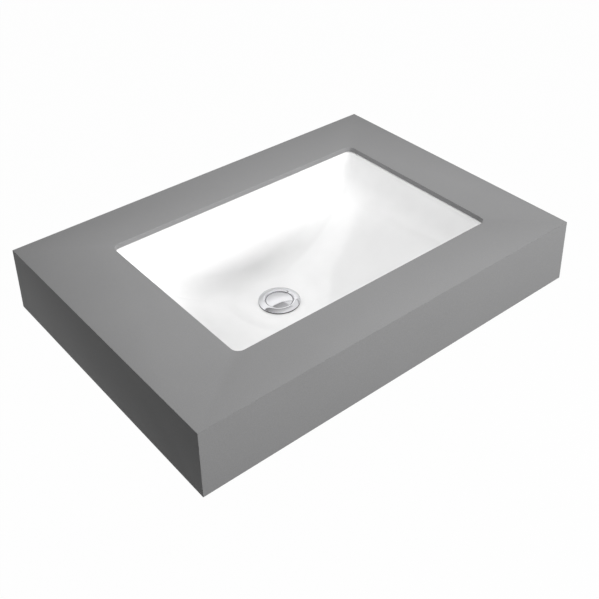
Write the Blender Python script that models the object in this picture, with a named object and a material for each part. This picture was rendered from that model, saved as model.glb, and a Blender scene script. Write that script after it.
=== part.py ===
"""Countertop basin.

A grey sheet counter with deep mitred aprons, a white basin bonded and clipped under its cut-out, and a
chrome pop-up waste. Metres, +Z up, +X along the counter, +Y towards the wall. The origin is on the rear
face of the wall rail, at the middle of its screw line.
"""

import math

import bmesh
import bpy
from mathutils import Matrix, Vector

# Fits shared by all pieces
FIT_GAP = 0.0003
CUT_OVERRUN = 0.004
MERGE_DISTANCE = 0.00001

# Cut-out in the deck
CUTOUT_WIDTH = 0.453
CUTOUT_DEPTH = 0.301
CUTOUT_LEFT_MARGIN = 0.1114
CUTOUT_RIGHT_MARGIN = 0.0856
CUTOUT_FRONT_MARGIN = 0.080
CUTOUT_BACK_MARGIN = 0.084
CUTOUT_CORNER_RADIUS = 0.012

# Counter: a thin sheet with mitred aprons on the three sides that show, made to measure round the cut-out
COUNTER_WIDTH = CUTOUT_LEFT_MARGIN + CUTOUT_WIDTH + CUTOUT_RIGHT_MARGIN
COUNTER_DEPTH = CUTOUT_FRONT_MARGIN + CUTOUT_DEPTH + CUTOUT_BACK_MARGIN
COUNTER_HEIGHT = 0.100
SHEET_THICKNESS = 0.008

# Sub-frame of moisture-resistant plywood
RAIL_THICKNESS = 0.018
RAIL_HEIGHT = 0.070
RAIL_HOLE_DIAMETER = 0.007
RAIL_HOLE_shares = (-0.84, -0.34, 0.34, 0.84)
BATTEN_THICKNESS = 0.012
BATTEN_CLEARANCE = 0.010
BLOCK_SIZE = 0.026
BLOCK_HEIGHT = 0.060

# Basin: rim flange under the deck
FLANGE_WIDTH = 0.022
FLANGE_THICKNESS = 0.015
LIP_RADIUS = 0.002
SEALANT_THICKNESS = 0.0012
SEALANT_INSET = 0.0006
SEALANT_WIDTH = 0.013

# Basin: bowl form. Depths are below the deck's top face.
BOWL_DEPTH = 0.158
BOWL_WALL = 0.010
FLOOR_RADIUS = 0.245
RAMP_ANGLE = math.radians(35.5)
END_BEND_RADIUS = 0.070
END_WALL_DRAFT = math.radians(18.0)
LONG_WALL_DRAFT = math.radians(7.6)
BALL_RADIUS_AT_RIM = 0.011
BALL_RADIUS_AT_FLOOR = 0.026
ROLL_STEPS = 6
FLOOR_FALL_BACK = 0.003
FLOOR_FALL_FRONT = 0.010
SEAT_BLEND = 0.050
TURN_LENGTH = 0.060

# Basin: drain boss and overflow
DRAIN_FROM_BACK_EDGE = 0.0904
DRAIN_SEAT_DIAMETER = 0.072
DRAIN_CONE_DIAMETER = 0.060
DRAIN_BORE_DIAMETER = 0.046
BOSS_TOP_DIAMETER = 0.092
BOSS_BOTTOM_DIAMETER = 0.084
BOSS_HEIGHT = 0.038
GALLERY_DIAMETER = 0.064
GALLERY_TOP = 0.014
GALLERY_HEIGHT = 0.014
OVERFLOW_HOLE_DIAMETER = 0.022
OVERFLOW_HOLE_DEPTH = 0.050
DUCT_WIDTH = 0.030
DUCT_HEIGHT = 0.011
DUCT_SKIN = 0.006
DUCT_CEILING = 0.008

# Rim clips
CLIP_WIDTH = 0.020
CLIP_THICKNESS = 0.002
CLIP_LEG = 0.020
CLIP_FOLD_RADIUS = 0.002
CLIP_SPREAD_share = 0.55
PAD_LENGTH = 0.009
PAD_INSET = 0.002
PAD_THICKNESS = 0.003
SCREW_SHANK_DIAMETER = 0.004
SCREW_HOLE_CLEARANCE = 0.0004
SCREW_HEAD_DIAMETER = 0.009
SCREW_HEAD_HEIGHT = 0.0026
SCREW_BITE = 0.009
PILOT_DEPTH = 0.010

# Waste body. Heights are above or below the level seat round the drain.
WASTE_FLANGE_DIAMETER = 0.066
WASTE_RIM_HEIGHT = 0.0044
WASTE_EDGE_RADIUS = 0.0022
WASTE_DISH_DIAMETER = 0.0448
WASTE_DISH_DROP = 0.0026
TUBE_DIAMETER = 0.0419
TUBE_BORE_DIAMETER = 0.0359
TUBE_LENGTH = 0.080
TUBE_LEDGE = 0.001
WINDOW_WIDTH = 0.014
WINDOW_HEIGHT = 0.012
WINDOW_TOP = 0.015

# Seals, washer and nut on the waste
UPPER_SEAL_THICKNESS = 0.0015
UPPER_SEAL_REACH = 0.0037
LOWER_SEAL_DIAMETER = 0.066
LOWER_SEAL_TAPER = 0.003
LOWER_SEAL_THICKNESS = 0.008
SLIP_WASHER_DIAMETER = 0.060
SLIP_WASHER_THICKNESS = 0.0015
NUT_ACROSS_FLATS = 0.052
NUT_THICKNESS = 0.009
NUT_CHAMFER = 0.0025

# Pop-up cap and its mechanism
CAP_DIAMETER = 0.042
CAP_EDGE_HEIGHT = 0.0030
CAP_CROWN_HEIGHT = 0.0046
CAP_EDGE_RADIUS = 0.0007
CAP_LIP_THICKNESS = 0.0014
CAP_LIP_OVERHANG = 0.0012
CAP_SEAL_SECTION = 0.003
CAP_SEAL_HEIGHT = 0.00045
CAP_TRAVEL = 0.009
STUD_DIAMETER = 0.006
STUD_LENGTH = 0.0044
PLUNGER_DIAMETER = 0.012
PLUNGER_ENGAGEMENT = 0.006
HOUSING_WALL = 0.0022
HOUSING_TOP = 0.012
HOUSING_BASE = 0.038
HOUSING_FLOOR = 0.002
BRIDGE_HEIGHT = 0.005
BRIDGE_RING_WIDTH = 0.0022
SPOKE_WIDTH = 0.003
SPRING_WIRE = 0.0009
SPRING_DIAMETER = 0.0092

# Fineness of round forms
ROUND_SEGMENTS = 40
SMALL_SEGMENTS = 12
CORNER_STEPS = 6
ARC_STEPS = 5
RIM_SPACING_share = 0.070
INNER_RINGS = 17
OUTER_RINGS = 8
PROFILE_SAMPLES = 160
SPRING_TURNS = 5
SPRING_POINTS_PER_TURN = 12
SPOKES = 3
WINDOWS = 3
SHARP_ANGLE = math.radians(30.0)

# Levels and places that follow from the sizes above
DECK_TOP = RAIL_HEIGHT / 2 + FIT_GAP + SHEET_THICKNESS
SHEET_UNDERSIDE = DECK_TOP - SHEET_THICKNESS
FRAME_TOP = SHEET_UNDERSIDE - FIT_GAP
BATTEN_UNDERSIDE = FRAME_TOP - BATTEN_THICKNESS
INSIDE_X = COUNTER_WIDTH / 2 - SHEET_THICKNESS - FIT_GAP
INSIDE_FRONT_Y = -COUNTER_DEPTH + SHEET_THICKNESS + FIT_GAP
RAIL_FRONT_Y = -RAIL_THICKNESS - FIT_GAP
BOWL_X = -COUNTER_WIDTH / 2 + CUTOUT_LEFT_MARGIN + CUTOUT_WIDTH / 2
BOWL_Y = -COUNTER_DEPTH + CUTOUT_FRONT_MARGIN + CUTOUT_DEPTH / 2
DRAIN_Y = BOWL_Y + CUTOUT_DEPTH / 2 - DRAIN_FROM_BACK_EDGE
DRAIN_OFFSET_Y = DRAIN_Y - BOWL_Y
SEAT_Z = DECK_TOP - BOWL_DEPTH
RIM_TOP = SHEET_UNDERSIDE - 2 * FIT_GAP - SEALANT_THICKNESS
FLANGE_UNDERSIDE = RIM_TOP - FLANGE_THICKNESS
BOWL_HALF_WIDTH = CUTOUT_WIDTH / 2
BOWL_HALF_DEPTH = CUTOUT_DEPTH / 2
FLANGE_HALF_WIDTH = CUTOUT_WIDTH / 2 + FLANGE_WIDTH
FLANGE_HALF_DEPTH = CUTOUT_DEPTH / 2 + FLANGE_WIDTH
FLANGE_CORNER_RADIUS = CUTOUT_CORNER_RADIUS + FLANGE_WIDTH

# The drain's cone is at 45 degrees, so a gap square to it is root two as high
SLOPE_GAP = FIT_GAP * math.sqrt(2)
CONE_DEPTH = (DRAIN_CONE_DIAMETER - DRAIN_BORE_DIAMETER) / 2
CONE_RISE = 2 * SLOPE_GAP + UPPER_SEAL_THICKNESS * math.sqrt(2)


def clear_scene():
    for obj in list(bpy.data.objects):
        bpy.data.objects.remove(obj, do_unlink=True)


def make_material(name, colour, roughness, metallic=0.0):
    material = bpy.data.materials.new(name)
    material.use_nodes = True
    shader = material.node_tree.nodes["Principled BSDF"]
    shader.inputs["Base Color"].default_value = (*colour, 1.0)
    shader.inputs["Roughness"].default_value = roughness
    shader.inputs["Metallic"].default_value = metallic
    material.diffuse_color = (*colour, 1.0)
    return material


def add_object(name, data, material=None, location=(0, 0, 0), turn=0.0):
    obj = bpy.data.objects.new(name, data)
    bpy.context.scene.collection.objects.link(obj)
    obj.location = location
    obj.rotation_euler.z = turn
    if material:
        data.materials.append(material)
    return obj


def mesh_from(bm, name):
    bmesh.ops.recalc_face_normals(bm, faces=bm.faces[:])
    mesh = bpy.data.meshes.new(name)
    bm.to_mesh(mesh)
    bm.free()
    return mesh


def box_bmesh(low, high):
    size = Vector(high) - Vector(low)
    middle = (Vector(high) + Vector(low)) / 2
    bm = bmesh.new()
    bmesh.ops.create_cube(bm, size=1.0, matrix=Matrix.Translation(middle) @ Matrix.Diagonal((*size, 1.0)))
    return bm


def box(name, low, high, material=None, **placing):
    return add_object(name, mesh_from(box_bmesh(low, high), name), material, **placing)


def prism(name, outline, low, high, axis="Z", material=None, **placing):
    """An outline of (a, b) points pushed along Z, or along X with the points as (y, z)."""
    bm = bmesh.new()
    if axis == "Z":
        points = [Vector((a, b, low)) for a, b in outline]
        push = Vector((0, 0, high - low))
    else:
        points = [Vector((low, a, b)) for a, b in outline]
        push = Vector((high - low, 0, 0))
    face = bm.faces.new([bm.verts.new(point) for point in points])
    pushed = bmesh.ops.extrude_face_region(bm, geom=[face])
    moved = [item for item in pushed["geom"] if isinstance(item, bmesh.types.BMVert)]
    bmesh.ops.translate(bm, verts=moved, vec=push)
    return add_object(name, mesh_from(bm, name), material, **placing)


def settle(obj):
    """Applies the modifiers, and shades round faces smooth between sharp edges."""
    graph = bpy.context.evaluated_depsgraph_get()
    mesh = bpy.data.meshes.new_from_object(obj.evaluated_get(graph))
    obj.modifiers.clear()
    obj.data = mesh
    mesh.name = obj.name
    mesh.shade_smooth()
    mesh.set_sharp_from_angle(angle=SHARP_ANGLE)
    return obj


def turned(name, profile, segments=ROUND_SEGMENTS, material=None, **placing):
    """A closed profile of (radius, height) points, turned round Z."""
    area = sum(a[0] * b[1] - b[0] * a[1] for a, b in zip(profile, profile[1:] + profile[:1]))
    points = profile[::-1] if area > 0 else profile
    mesh = bpy.data.meshes.new(name)
    links = [(i, (i + 1) % len(points)) for i in range(len(points))]
    on_axis = [link for link in links if points[link[0]][0] == 0 and points[link[1]][0] == 0]
    links = [link for link in links if link not in on_axis]
    mesh.from_pydata([(r, 0, z) for r, z in points], links, [])
    obj = add_object(name, mesh, material, **placing)
    screw = obj.modifiers.new("turn", "SCREW")
    screw.steps = segments
    screw.render_steps = segments
    screw.use_merge_vertices = True
    screw.merge_threshold = MERGE_DISTANCE
    return settle(obj)


def arc(centre, radius, start, end, steps=ARC_STEPS):
    """Points on an arc, with angles in degrees from the +radius direction."""
    points = []
    for i in range(steps + 1):
        angle = math.radians(start + (end - start) * i / steps)
        points.append((centre[0] + radius * math.cos(angle), centre[1] + radius * math.sin(angle)))
    return points


def combine(obj, tools, operation):
    """Cuts the tools from the object, or joins them to it, and uses them up."""
    for tool in tools:
        modifier = obj.modifiers.new(operation.lower(), "BOOLEAN")
        modifier.operation = operation
        modifier.solver = "EXACT"
        modifier.object = tool
        tool.hide_render = True
        tool.display_type = "WIRE"
    settle(obj)
    for tool in tools:
        bpy.data.objects.remove(tool, do_unlink=True)
    return obj


def rod(name, radius, low, high, segments=ROUND_SEGMENTS, **placing):
    return turned(name, [(0, high), (radius, high), (radius, low), (0, low)], segments, **placing)


def rounded_rectangle(half_x, half_y, radius, steps=CORNER_STEPS):
    """Points round a rectangle with arcs at its corners, centred on zero."""
    points = []
    corners = ((1, 1, 0), (-1, 1, 90), (-1, -1, 180), (1, -1, 270))
    for side_x, side_y, start in corners:
        centre = (side_x * (half_x - radius), side_y * (half_y - radius))
        points += arc(centre, radius, start, start + 90, steps)
    return points


def mitred_panel(name, low, high, mitres, material):
    """A sheet blank sawn along its mitres, each a point on the outer arris and the way out of the panel."""
    bm = box_bmesh(low, high)
    for arris, outward in mitres:
        normal = Vector(outward).normalized()
        sawn = bmesh.ops.bisect_plane(
            bm,
            geom=bm.verts[:] + bm.edges[:] + bm.faces[:],
            plane_co=Vector(arris) - normal * FIT_GAP / 2,
            plane_no=normal,
            clear_outer=True,
        )
        rim = [item for item in sawn["geom_cut"] if isinstance(item, bmesh.types.BMEdge)]
        bmesh.ops.contextual_create(bm, geom=rim)
    return add_object(name, mesh_from(bm, name), material)


def make_counter(sheet):
    half, depth = COUNTER_WIDTH / 2, COUNTER_DEPTH
    base = DECK_TOP - COUNTER_HEIGHT
    deck_mitres = [
        ((-half, 0, DECK_TOP), (-1, 0, -1)),
        ((half, 0, DECK_TOP), (1, 0, -1)),
        ((0, -depth, DECK_TOP), (0, -1, -1)),
    ]
    deck = mitred_panel(
        "deck_panel", (-half, -depth, SHEET_UNDERSIDE), (half, 0, DECK_TOP), deck_mitres, sheet
    )
    outline = rounded_rectangle(CUTOUT_WIDTH / 2, CUTOUT_DEPTH / 2, CUTOUT_CORNER_RADIUS)
    hole = prism(
        "cutout", outline, SHEET_UNDERSIDE - CUT_OVERRUN, DECK_TOP + CUT_OVERRUN, location=(BOWL_X, BOWL_Y, 0)
    )
    combine(deck, [hole], "DIFFERENCE")

    front_mitres = [
        ((0, -depth, DECK_TOP), (0, 1, 1)),
        ((-half, -depth, 0), (-1, 1, 0)),
        ((half, -depth, 0), (1, 1, 0)),
    ]
    mitred_panel(
        "front_apron", (-half, -depth, base), (half, -depth + SHEET_THICKNESS, DECK_TOP), front_mitres, sheet
    )
    for name, side in (("left_apron", -1), ("right_apron", 1)):
        outer, inner = side * half, side * (half - SHEET_THICKNESS)
        side_mitres = [
            ((outer, 0, DECK_TOP), (-side, 0, 1)),
            ((outer, -depth, 0), (-side, -1, 0)),
        ]
        low = (min(outer, inner), -depth, base)
        high = (max(outer, inner), 0, DECK_TOP)
        mitred_panel(name, low, high, side_mitres, sheet)


def make_sub_frame(plywood, sites):
    """The wall rail, the battens under the deck and the glue blocks in the corners."""
    rail = box(
        "wall_rail", (-INSIDE_X, -RAIL_THICKNESS, FRAME_TOP - RAIL_HEIGHT), (INSIDE_X, 0, FRAME_TOP), plywood
    )
    holes = []
    for share in RAIL_HOLE_shares:
        far = RAIL_THICKNESS + CUT_OVERRUN
        hole = rod("rail_hole", RAIL_HOLE_DIAMETER / 2, -CUT_OVERRUN, far, SMALL_SEGMENTS)
        hole.rotation_euler.x = math.radians(90)
        hole.location = (share * INSIDE_X, 0, 0)
        holes.append(hole)
    combine(rail, holes, "DIFFERENCE")

    edge_x = FLANGE_HALF_WIDTH + BATTEN_CLEARANCE
    edge_y = FLANGE_HALF_DEPTH + BATTEN_CLEARANCE
    spans = {
        "front": ((-INSIDE_X, INSIDE_FRONT_Y), (INSIDE_X, BOWL_Y - edge_y)),
        "back": ((-INSIDE_X, BOWL_Y + edge_y), (INSIDE_X, RAIL_FRONT_Y)),
        "left": ((-INSIDE_X, BOWL_Y - edge_y + FIT_GAP), (BOWL_X - edge_x, BOWL_Y + edge_y - FIT_GAP)),
        "right": ((BOWL_X + edge_x, BOWL_Y - edge_y + FIT_GAP), (INSIDE_X, BOWL_Y + edge_y - FIT_GAP)),
    }
    for side, (low, high) in spans.items():
        batten = box(f"{side}_batten", (*low, BATTEN_UNDERSIDE), (*high, FRAME_TOP), plywood)
        pilots = []
        for site in sites:
            if site["side"] == side:
                radius = SCREW_SHANK_DIAMETER / 2 + FIT_GAP
                low = BATTEN_UNDERSIDE - CUT_OVERRUN
                high = BATTEN_UNDERSIDE + PILOT_DEPTH
                pilots.append(rod("pilot", radius, low, high, SMALL_SEGMENTS, location=screw_place(site)))
        combine(batten, pilots, "DIFFERENCE")

    top = BATTEN_UNDERSIDE - FIT_GAP
    for side, x in (("left", -INSIDE_X), ("right", INSIDE_X - BLOCK_SIZE)):
        for end, y in (("front", INSIDE_FRONT_Y), ("back", RAIL_FRONT_Y - BLOCK_SIZE)):
            low = (x, y, top - BLOCK_HEIGHT)
            high = (x + BLOCK_SIZE, y + BLOCK_SIZE, top)
            box(f"{end}_{side}_block", low, high, plywood)


def end_to_end(x, grow):
    """Height and lean of the form that runs from end to end, at a distance from the bowl's middle.

    An arched floor runs into a straight ramp, and a wide bend turns the ramp into the end wall. The lean is
    the cosine of the slope.
    """
    x = abs(x)
    floor_radius = FLOOR_RADIUS + grow
    bend_radius = END_BEND_RADIUS + grow
    half_width = BOWL_HALF_WIDTH + grow / math.cos(END_WALL_DRAFT)
    wall_slope = 1 / math.tan(END_WALL_DRAFT)
    ramp_slope = math.tan(RAMP_ANGLE)
    ramp_x = floor_radius * math.sin(RAMP_ANGLE)
    ramp_z = SEAT_Z - grow + floor_radius * (1 - math.cos(RAMP_ANGLE))
    wall_foot = RIM_TOP - half_width * wall_slope
    meet_x = (ramp_z - ramp_x * ramp_slope - wall_foot) / (wall_slope - ramp_slope)
    meet_z = wall_foot + meet_x * wall_slope
    run = bend_radius * math.tan((math.pi / 2 - END_WALL_DRAFT - RAMP_ANGLE) / 2)
    bend_start = meet_x - run * math.cos(RAMP_ANGLE)
    bend_end = meet_x + run * math.sin(END_WALL_DRAFT)
    if x < min(ramp_x, bend_start):
        lean = math.sqrt(floor_radius**2 - x**2) / floor_radius
        return SEAT_Z - grow + floor_radius * (1 - lean), lean
    if x < bend_start:
        return ramp_z + (x - ramp_x) * ramp_slope, math.cos(RAMP_ANGLE)
    if x < bend_end:
        middle_x = bend_start - bend_radius * math.sin(RAMP_ANGLE)
        middle_z = meet_z - run * math.sin(RAMP_ANGLE) + bend_radius * math.cos(RAMP_ANGLE)
        rise = math.sqrt(bend_radius**2 - (x - middle_x) ** 2)
        return middle_z - rise, rise / bend_radius
    return wall_foot + x * wall_slope, math.sin(END_WALL_DRAFT)


def rolled(surfaces, ball):
    """The level over surfaces, each a (level, lean), after a ball has rounded every inside corner."""
    height = max(level for level, _ in surfaces)
    for _ in range(ROLL_STEPS):
        total, slope = -1.0, 0.0
        for level, lean in surfaces:
            near = 1 - (height - level) * lean / ball
            if near > 0:
                total += near**2
                slope += 2 * near * lean / ball
        height += total / slope
    return height


def bowl_level(x, y, grow=0.0):
    """Height of the bowl's surface at a place measured from its middle.

    The long walls meet the form that runs from end to end, whose floor falls to the drain. The fillets widen
    from the rim to the floor. The outer surfaces are the same form, grown outwards.
    """
    across, lean = end_to_end(x, grow)
    below_rim = max(RIM_TOP - across, 0) / (RIM_TOP - SEAT_Z)
    off_drain = y - DRAIN_OFFSET_Y
    if off_drain > 0:
        fall = FLOOR_FALL_BACK * (off_drain / (BOWL_HALF_DEPTH - DRAIN_OFFSET_Y)) ** 2
    else:
        fall = FLOOR_FALL_FRONT * (off_drain / (BOWL_HALF_DEPTH + DRAIN_OFFSET_Y)) ** 2
    half_depth = BOWL_HALF_DEPTH + grow / math.cos(LONG_WALL_DRAFT)
    long_wall = RIM_TOP - (half_depth - abs(y)) / math.tan(LONG_WALL_DRAFT)
    ball = BALL_RADIUS_AT_RIM + (BALL_RADIUS_AT_FLOOR - BALL_RADIUS_AT_RIM) * below_rim + grow
    level = rolled([(across + fall * below_rim, lean), (long_wall, math.sin(LONG_WALL_DRAFT))], ball)

    distance = math.hypot(x, off_drain)
    seat_radius = DRAIN_SEAT_DIAMETER / 2
    share = min(max((distance - seat_radius) / SEAT_BLEND, 0), 1)
    share = share * share * (3 - 2 * share)
    return (SEAT_Z - grow) * (1 - share) + level * share


def reach(direction, inside):
    """How far a ray from the drain goes before it leaves a form, found by halving."""
    near, far = 0.0, COUNTER_WIDTH
    while far - near > MERGE_DISTANCE:
        middle = (near + far) / 2
        x, y = direction[0] * middle, DRAIN_OFFSET_Y + direction[1] * middle
        near, far = (middle, far) if inside(x, y) else (near, middle)
    return near


def bowl_profile(direction, grow, top, rings):
    """The bowl's section along a ray from the drain's seat up to a level, as (distance, height).

    Steps are equal in length plus turn, so the fillets get more rings than the flats.
    """
    start = DRAIN_SEAT_DIAMETER / 2
    end = reach(direction, lambda x, y: bowl_level(x, y, grow) < top)
    samples = []
    for i in range(PROFILE_SAMPLES + 1):
        distance = start + (end - start) * i / PROFILE_SAMPLES
        place = (direction[0] * distance, DRAIN_OFFSET_Y + direction[1] * distance)
        samples.append((distance, bowl_level(*place, grow)))
    cost = [0.0]
    heading = None
    for (r0, z0), (r1, z1) in zip(samples, samples[1:]):
        angle = math.atan2(z1 - z0, r1 - r0)
        turn = abs(angle - heading) if heading is not None else 0.0
        cost.append(cost[-1] + math.hypot(r1 - r0, z1 - z0) + TURN_LENGTH * turn)
        heading = angle
    picked = []
    k = 0
    for ring in range(rings + 1):
        wanted = cost[-1] * ring / rings
        while k < PROFILE_SAMPLES - 1 and cost[k + 1] < wanted:
            k += 1
        part = (wanted - cost[k]) / (cost[k + 1] - cost[k])
        part = min(max(part, 0), 1)
        (r0, z0), (r1, z1) = samples[k], samples[k + 1]
        picked.append((r0 + (r1 - r0) * part, z0 + (z1 - z0) * part))
    return picked


def ray_directions():
    """Unit directions from the drain to points spaced along the bowl's rim."""
    spacing = RIM_SPACING_share * CUTOUT_DEPTH
    outline = rounded_rectangle(BOWL_HALF_WIDTH, BOWL_HALF_DEPTH, CUTOUT_CORNER_RADIUS, ARC_STEPS)
    directions = []
    for (x0, y0), (x1, y1) in zip(outline, outline[1:] + outline[:1]):
        pieces = max(1, round(math.hypot(x1 - x0, y1 - y0) / spacing))
        for i in range(pieces):
            x = x0 + (x1 - x0) * i / pieces
            y = y0 + (y1 - y0) * i / pieces - DRAIN_OFFSET_Y
            length = math.hypot(x, y)
            directions.append((x / length, y / length))
    return directions


def in_flange(x, y):
    """Whether a place lies inside the flange's rounded outline."""
    out_x = max(abs(x) - FLANGE_HALF_WIDTH + FLANGE_CORNER_RADIUS, 0)
    out_y = max(abs(y) - FLANGE_HALF_DEPTH + FLANGE_CORNER_RADIUS, 0)
    return math.hypot(out_x, out_y) < FLANGE_CORNER_RADIUS


def basin_section(direction):
    """One closed section of the basin along a ray: inside, lip, flange and outside."""
    inside = bowl_profile(direction, 0.0, RIM_TOP - LIP_RADIUS, INNER_RINGS)
    edge = inside[-1][0]
    lip = [
        (edge + LIP_RADIUS * (1 - math.cos(angle)), RIM_TOP - LIP_RADIUS * (1 - math.sin(angle)))
        for angle in (math.radians(40), math.radians(90))
    ]
    rim = reach(direction, in_flange)
    flange = [(rim, RIM_TOP), (rim, FLANGE_UNDERSIDE)]
    outside = bowl_profile(direction, BOWL_WALL, FLANGE_UNDERSIDE, OUTER_RINGS)
    return inside + lip + flange + outside[::-1]


def basin_loft(material):
    """The basin's shell without its drain: sections round the drain axis, joined ring by ring."""
    bm = bmesh.new()
    columns = []
    for direction in ray_directions():
        column = []
        for distance, height in basin_section(direction):
            place = (direction[0] * distance, DRAIN_OFFSET_Y + direction[1] * distance, height)
            column.append(bm.verts.new(place))
        columns.append(column)
    rings = len(columns[0])
    for left, right in zip(columns, columns[1:] + columns[:1]):
        for i in range(rings - 1):
            bm.faces.new((left[i], right[i], right[i + 1], left[i + 1]))
    bm.faces.new([column[0] for column in columns])
    bm.faces.new([column[-1] for column in columns][::-1])
    return add_object("basin", mesh_from(bm, "basin"), material, location=(BOWL_X, BOWL_Y, 0))


def duct_outline(near, grow_inner, grow_outer, top):
    """Side view of a channel that follows the front wall and the floor from a level to near the drain."""
    forward = (0.0, -1.0)
    lower = [point for point in bowl_profile(forward, grow_outer, top, INNER_RINGS) if point[0] > near]
    upper = [point for point in bowl_profile(forward, grow_inner, top, INNER_RINGS) if point[0] > near]
    section = [(near, SEAT_Z - grow_outer)] + lower + upper[::-1] + [(near, SEAT_Z - grow_inner)]
    return [(DRAIN_Y - distance, height) for distance, height in section]


def make_basin(ceramic):
    basin = basin_loft(ceramic)
    drain = (BOWL_X, DRAIN_Y, SEAT_Z)
    boss = turned(
        "boss",
        [
            (0, -BOWL_WALL / 2),
            (BOSS_TOP_DIAMETER / 2, -BOWL_WALL / 2),
            (BOSS_BOTTOM_DIAMETER / 2, -BOSS_HEIGHT),
            (0, -BOSS_HEIGHT),
        ],
        location=drain,
    )
    skin = BOWL_WALL + DUCT_HEIGHT + DUCT_SKIN
    rib_outline = duct_outline(GALLERY_DIAMETER / 2, BOWL_WALL / 2, skin, FLANGE_UNDERSIDE + FIT_GAP)
    rib_half = DUCT_WIDTH / 2 + DUCT_SKIN
    rib = prism("rib", rib_outline, BOWL_X - rib_half, BOWL_X + rib_half, axis="X")
    combine(basin, [boss, rib], "UNION")

    cone = turned(
        "drain_hole",
        [
            (0, CUT_OVERRUN),
            (DRAIN_CONE_DIAMETER / 2 + CUT_OVERRUN, CUT_OVERRUN),
            (DRAIN_BORE_DIAMETER / 2, -CONE_DEPTH),
            (DRAIN_BORE_DIAMETER / 2, -GALLERY_TOP),
            (GALLERY_DIAMETER / 2, -GALLERY_TOP),
            (GALLERY_DIAMETER / 2, -GALLERY_TOP - GALLERY_HEIGHT),
            (DRAIN_BORE_DIAMETER / 2, -GALLERY_TOP - GALLERY_HEIGHT),
            (DRAIN_BORE_DIAMETER / 2, -BOSS_HEIGHT - CUT_OVERRUN),
            (0, -BOSS_HEIGHT - CUT_OVERRUN),
        ],
        location=drain,
    )
    hole_z = DECK_TOP - OVERFLOW_HOLE_DEPTH
    duct_top = hole_z + OVERFLOW_HOLE_DIAMETER / 2 + FIT_GAP
    duct_near = (GALLERY_DIAMETER / 2 + DRAIN_BORE_DIAMETER / 2) / 2
    channel = duct_outline(duct_near, DUCT_CEILING, BOWL_WALL + DUCT_HEIGHT, duct_top)
    duct = prism("duct", channel, BOWL_X - DUCT_WIDTH / 2, BOWL_X + DUCT_WIDTH / 2, axis="X")
    wall_y = DRAIN_Y - reach((0.0, -1.0), lambda x, y: bowl_level(x, y) < hole_z)
    radius = OVERFLOW_HOLE_DIAMETER / 2
    length = BOWL_WALL + DUCT_HEIGHT / 2
    hole = rod("overflow_hole", radius, -length, BOWL_WALL, location=(BOWL_X, wall_y, hole_z))
    hole.rotation_euler.x = math.radians(-90)
    combine(basin, [cone, duct, hole], "DIFFERENCE")


def make_sealant(silicone):
    """A flat bead between the flange and the sheet, open over the bowl."""
    bm = bmesh.new()
    inset = SEALANT_INSET + SEALANT_WIDTH
    loops = []
    for grow, height in (
        (SEALANT_INSET, RIM_TOP + FIT_GAP),
        (inset, RIM_TOP + FIT_GAP),
        (inset, SHEET_UNDERSIDE - FIT_GAP),
        (SEALANT_INSET, SHEET_UNDERSIDE - FIT_GAP),
    ):
        outline = rounded_rectangle(
            CUTOUT_WIDTH / 2 + grow, CUTOUT_DEPTH / 2 + grow, CUTOUT_CORNER_RADIUS + grow
        )
        loops.append([bm.verts.new((x, y, height)) for x, y in outline])
    for first, second in zip(loops, loops[1:] + loops[:1]):
        for i in range(len(first)):
            j = (i + 1) % len(first)
            bm.faces.new((first[i], first[j], second[j], second[i]))
    add_object("rim_sealant", mesh_from(bm, "rim_sealant"), silicone, location=(BOWL_X, BOWL_Y, 0))


def clip_sites():
    """Where the six clips stand: on the flange's outer edge, +X of each turned away from the bowl."""
    across = CLIP_SPREAD_share * CUTOUT_WIDTH / 2
    places = (
        ("front", "front_left", -across, -FLANGE_HALF_DEPTH, -90),
        ("front", "front_right", across, -FLANGE_HALF_DEPTH, -90),
        ("back", "back_left", -across, FLANGE_HALF_DEPTH, 90),
        ("back", "back_right", across, FLANGE_HALF_DEPTH, 90),
        ("left", "left", -FLANGE_HALF_WIDTH, 0, 180),
        ("right", "right", FLANGE_HALF_WIDTH, 0, 0),
    )
    sites = []
    for side, name, x, y, degrees in places:
        location = Vector((BOWL_X + x, BOWL_Y + y, 0))
        turn = math.radians(degrees)
        matrix = Matrix.Translation(location) @ Matrix.Rotation(turn, 4, "Z")
        sites.append({"side": side, "name": name, "location": location, "turn": turn, "matrix": matrix})
    return sites


def screw_place(site):
    """Where a clip's screw stands: in the middle of the leg under the batten."""
    return site["matrix"] @ Vector((BATTEN_CLEARANCE + CLIP_LEG / 2, 0, 0))


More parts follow.
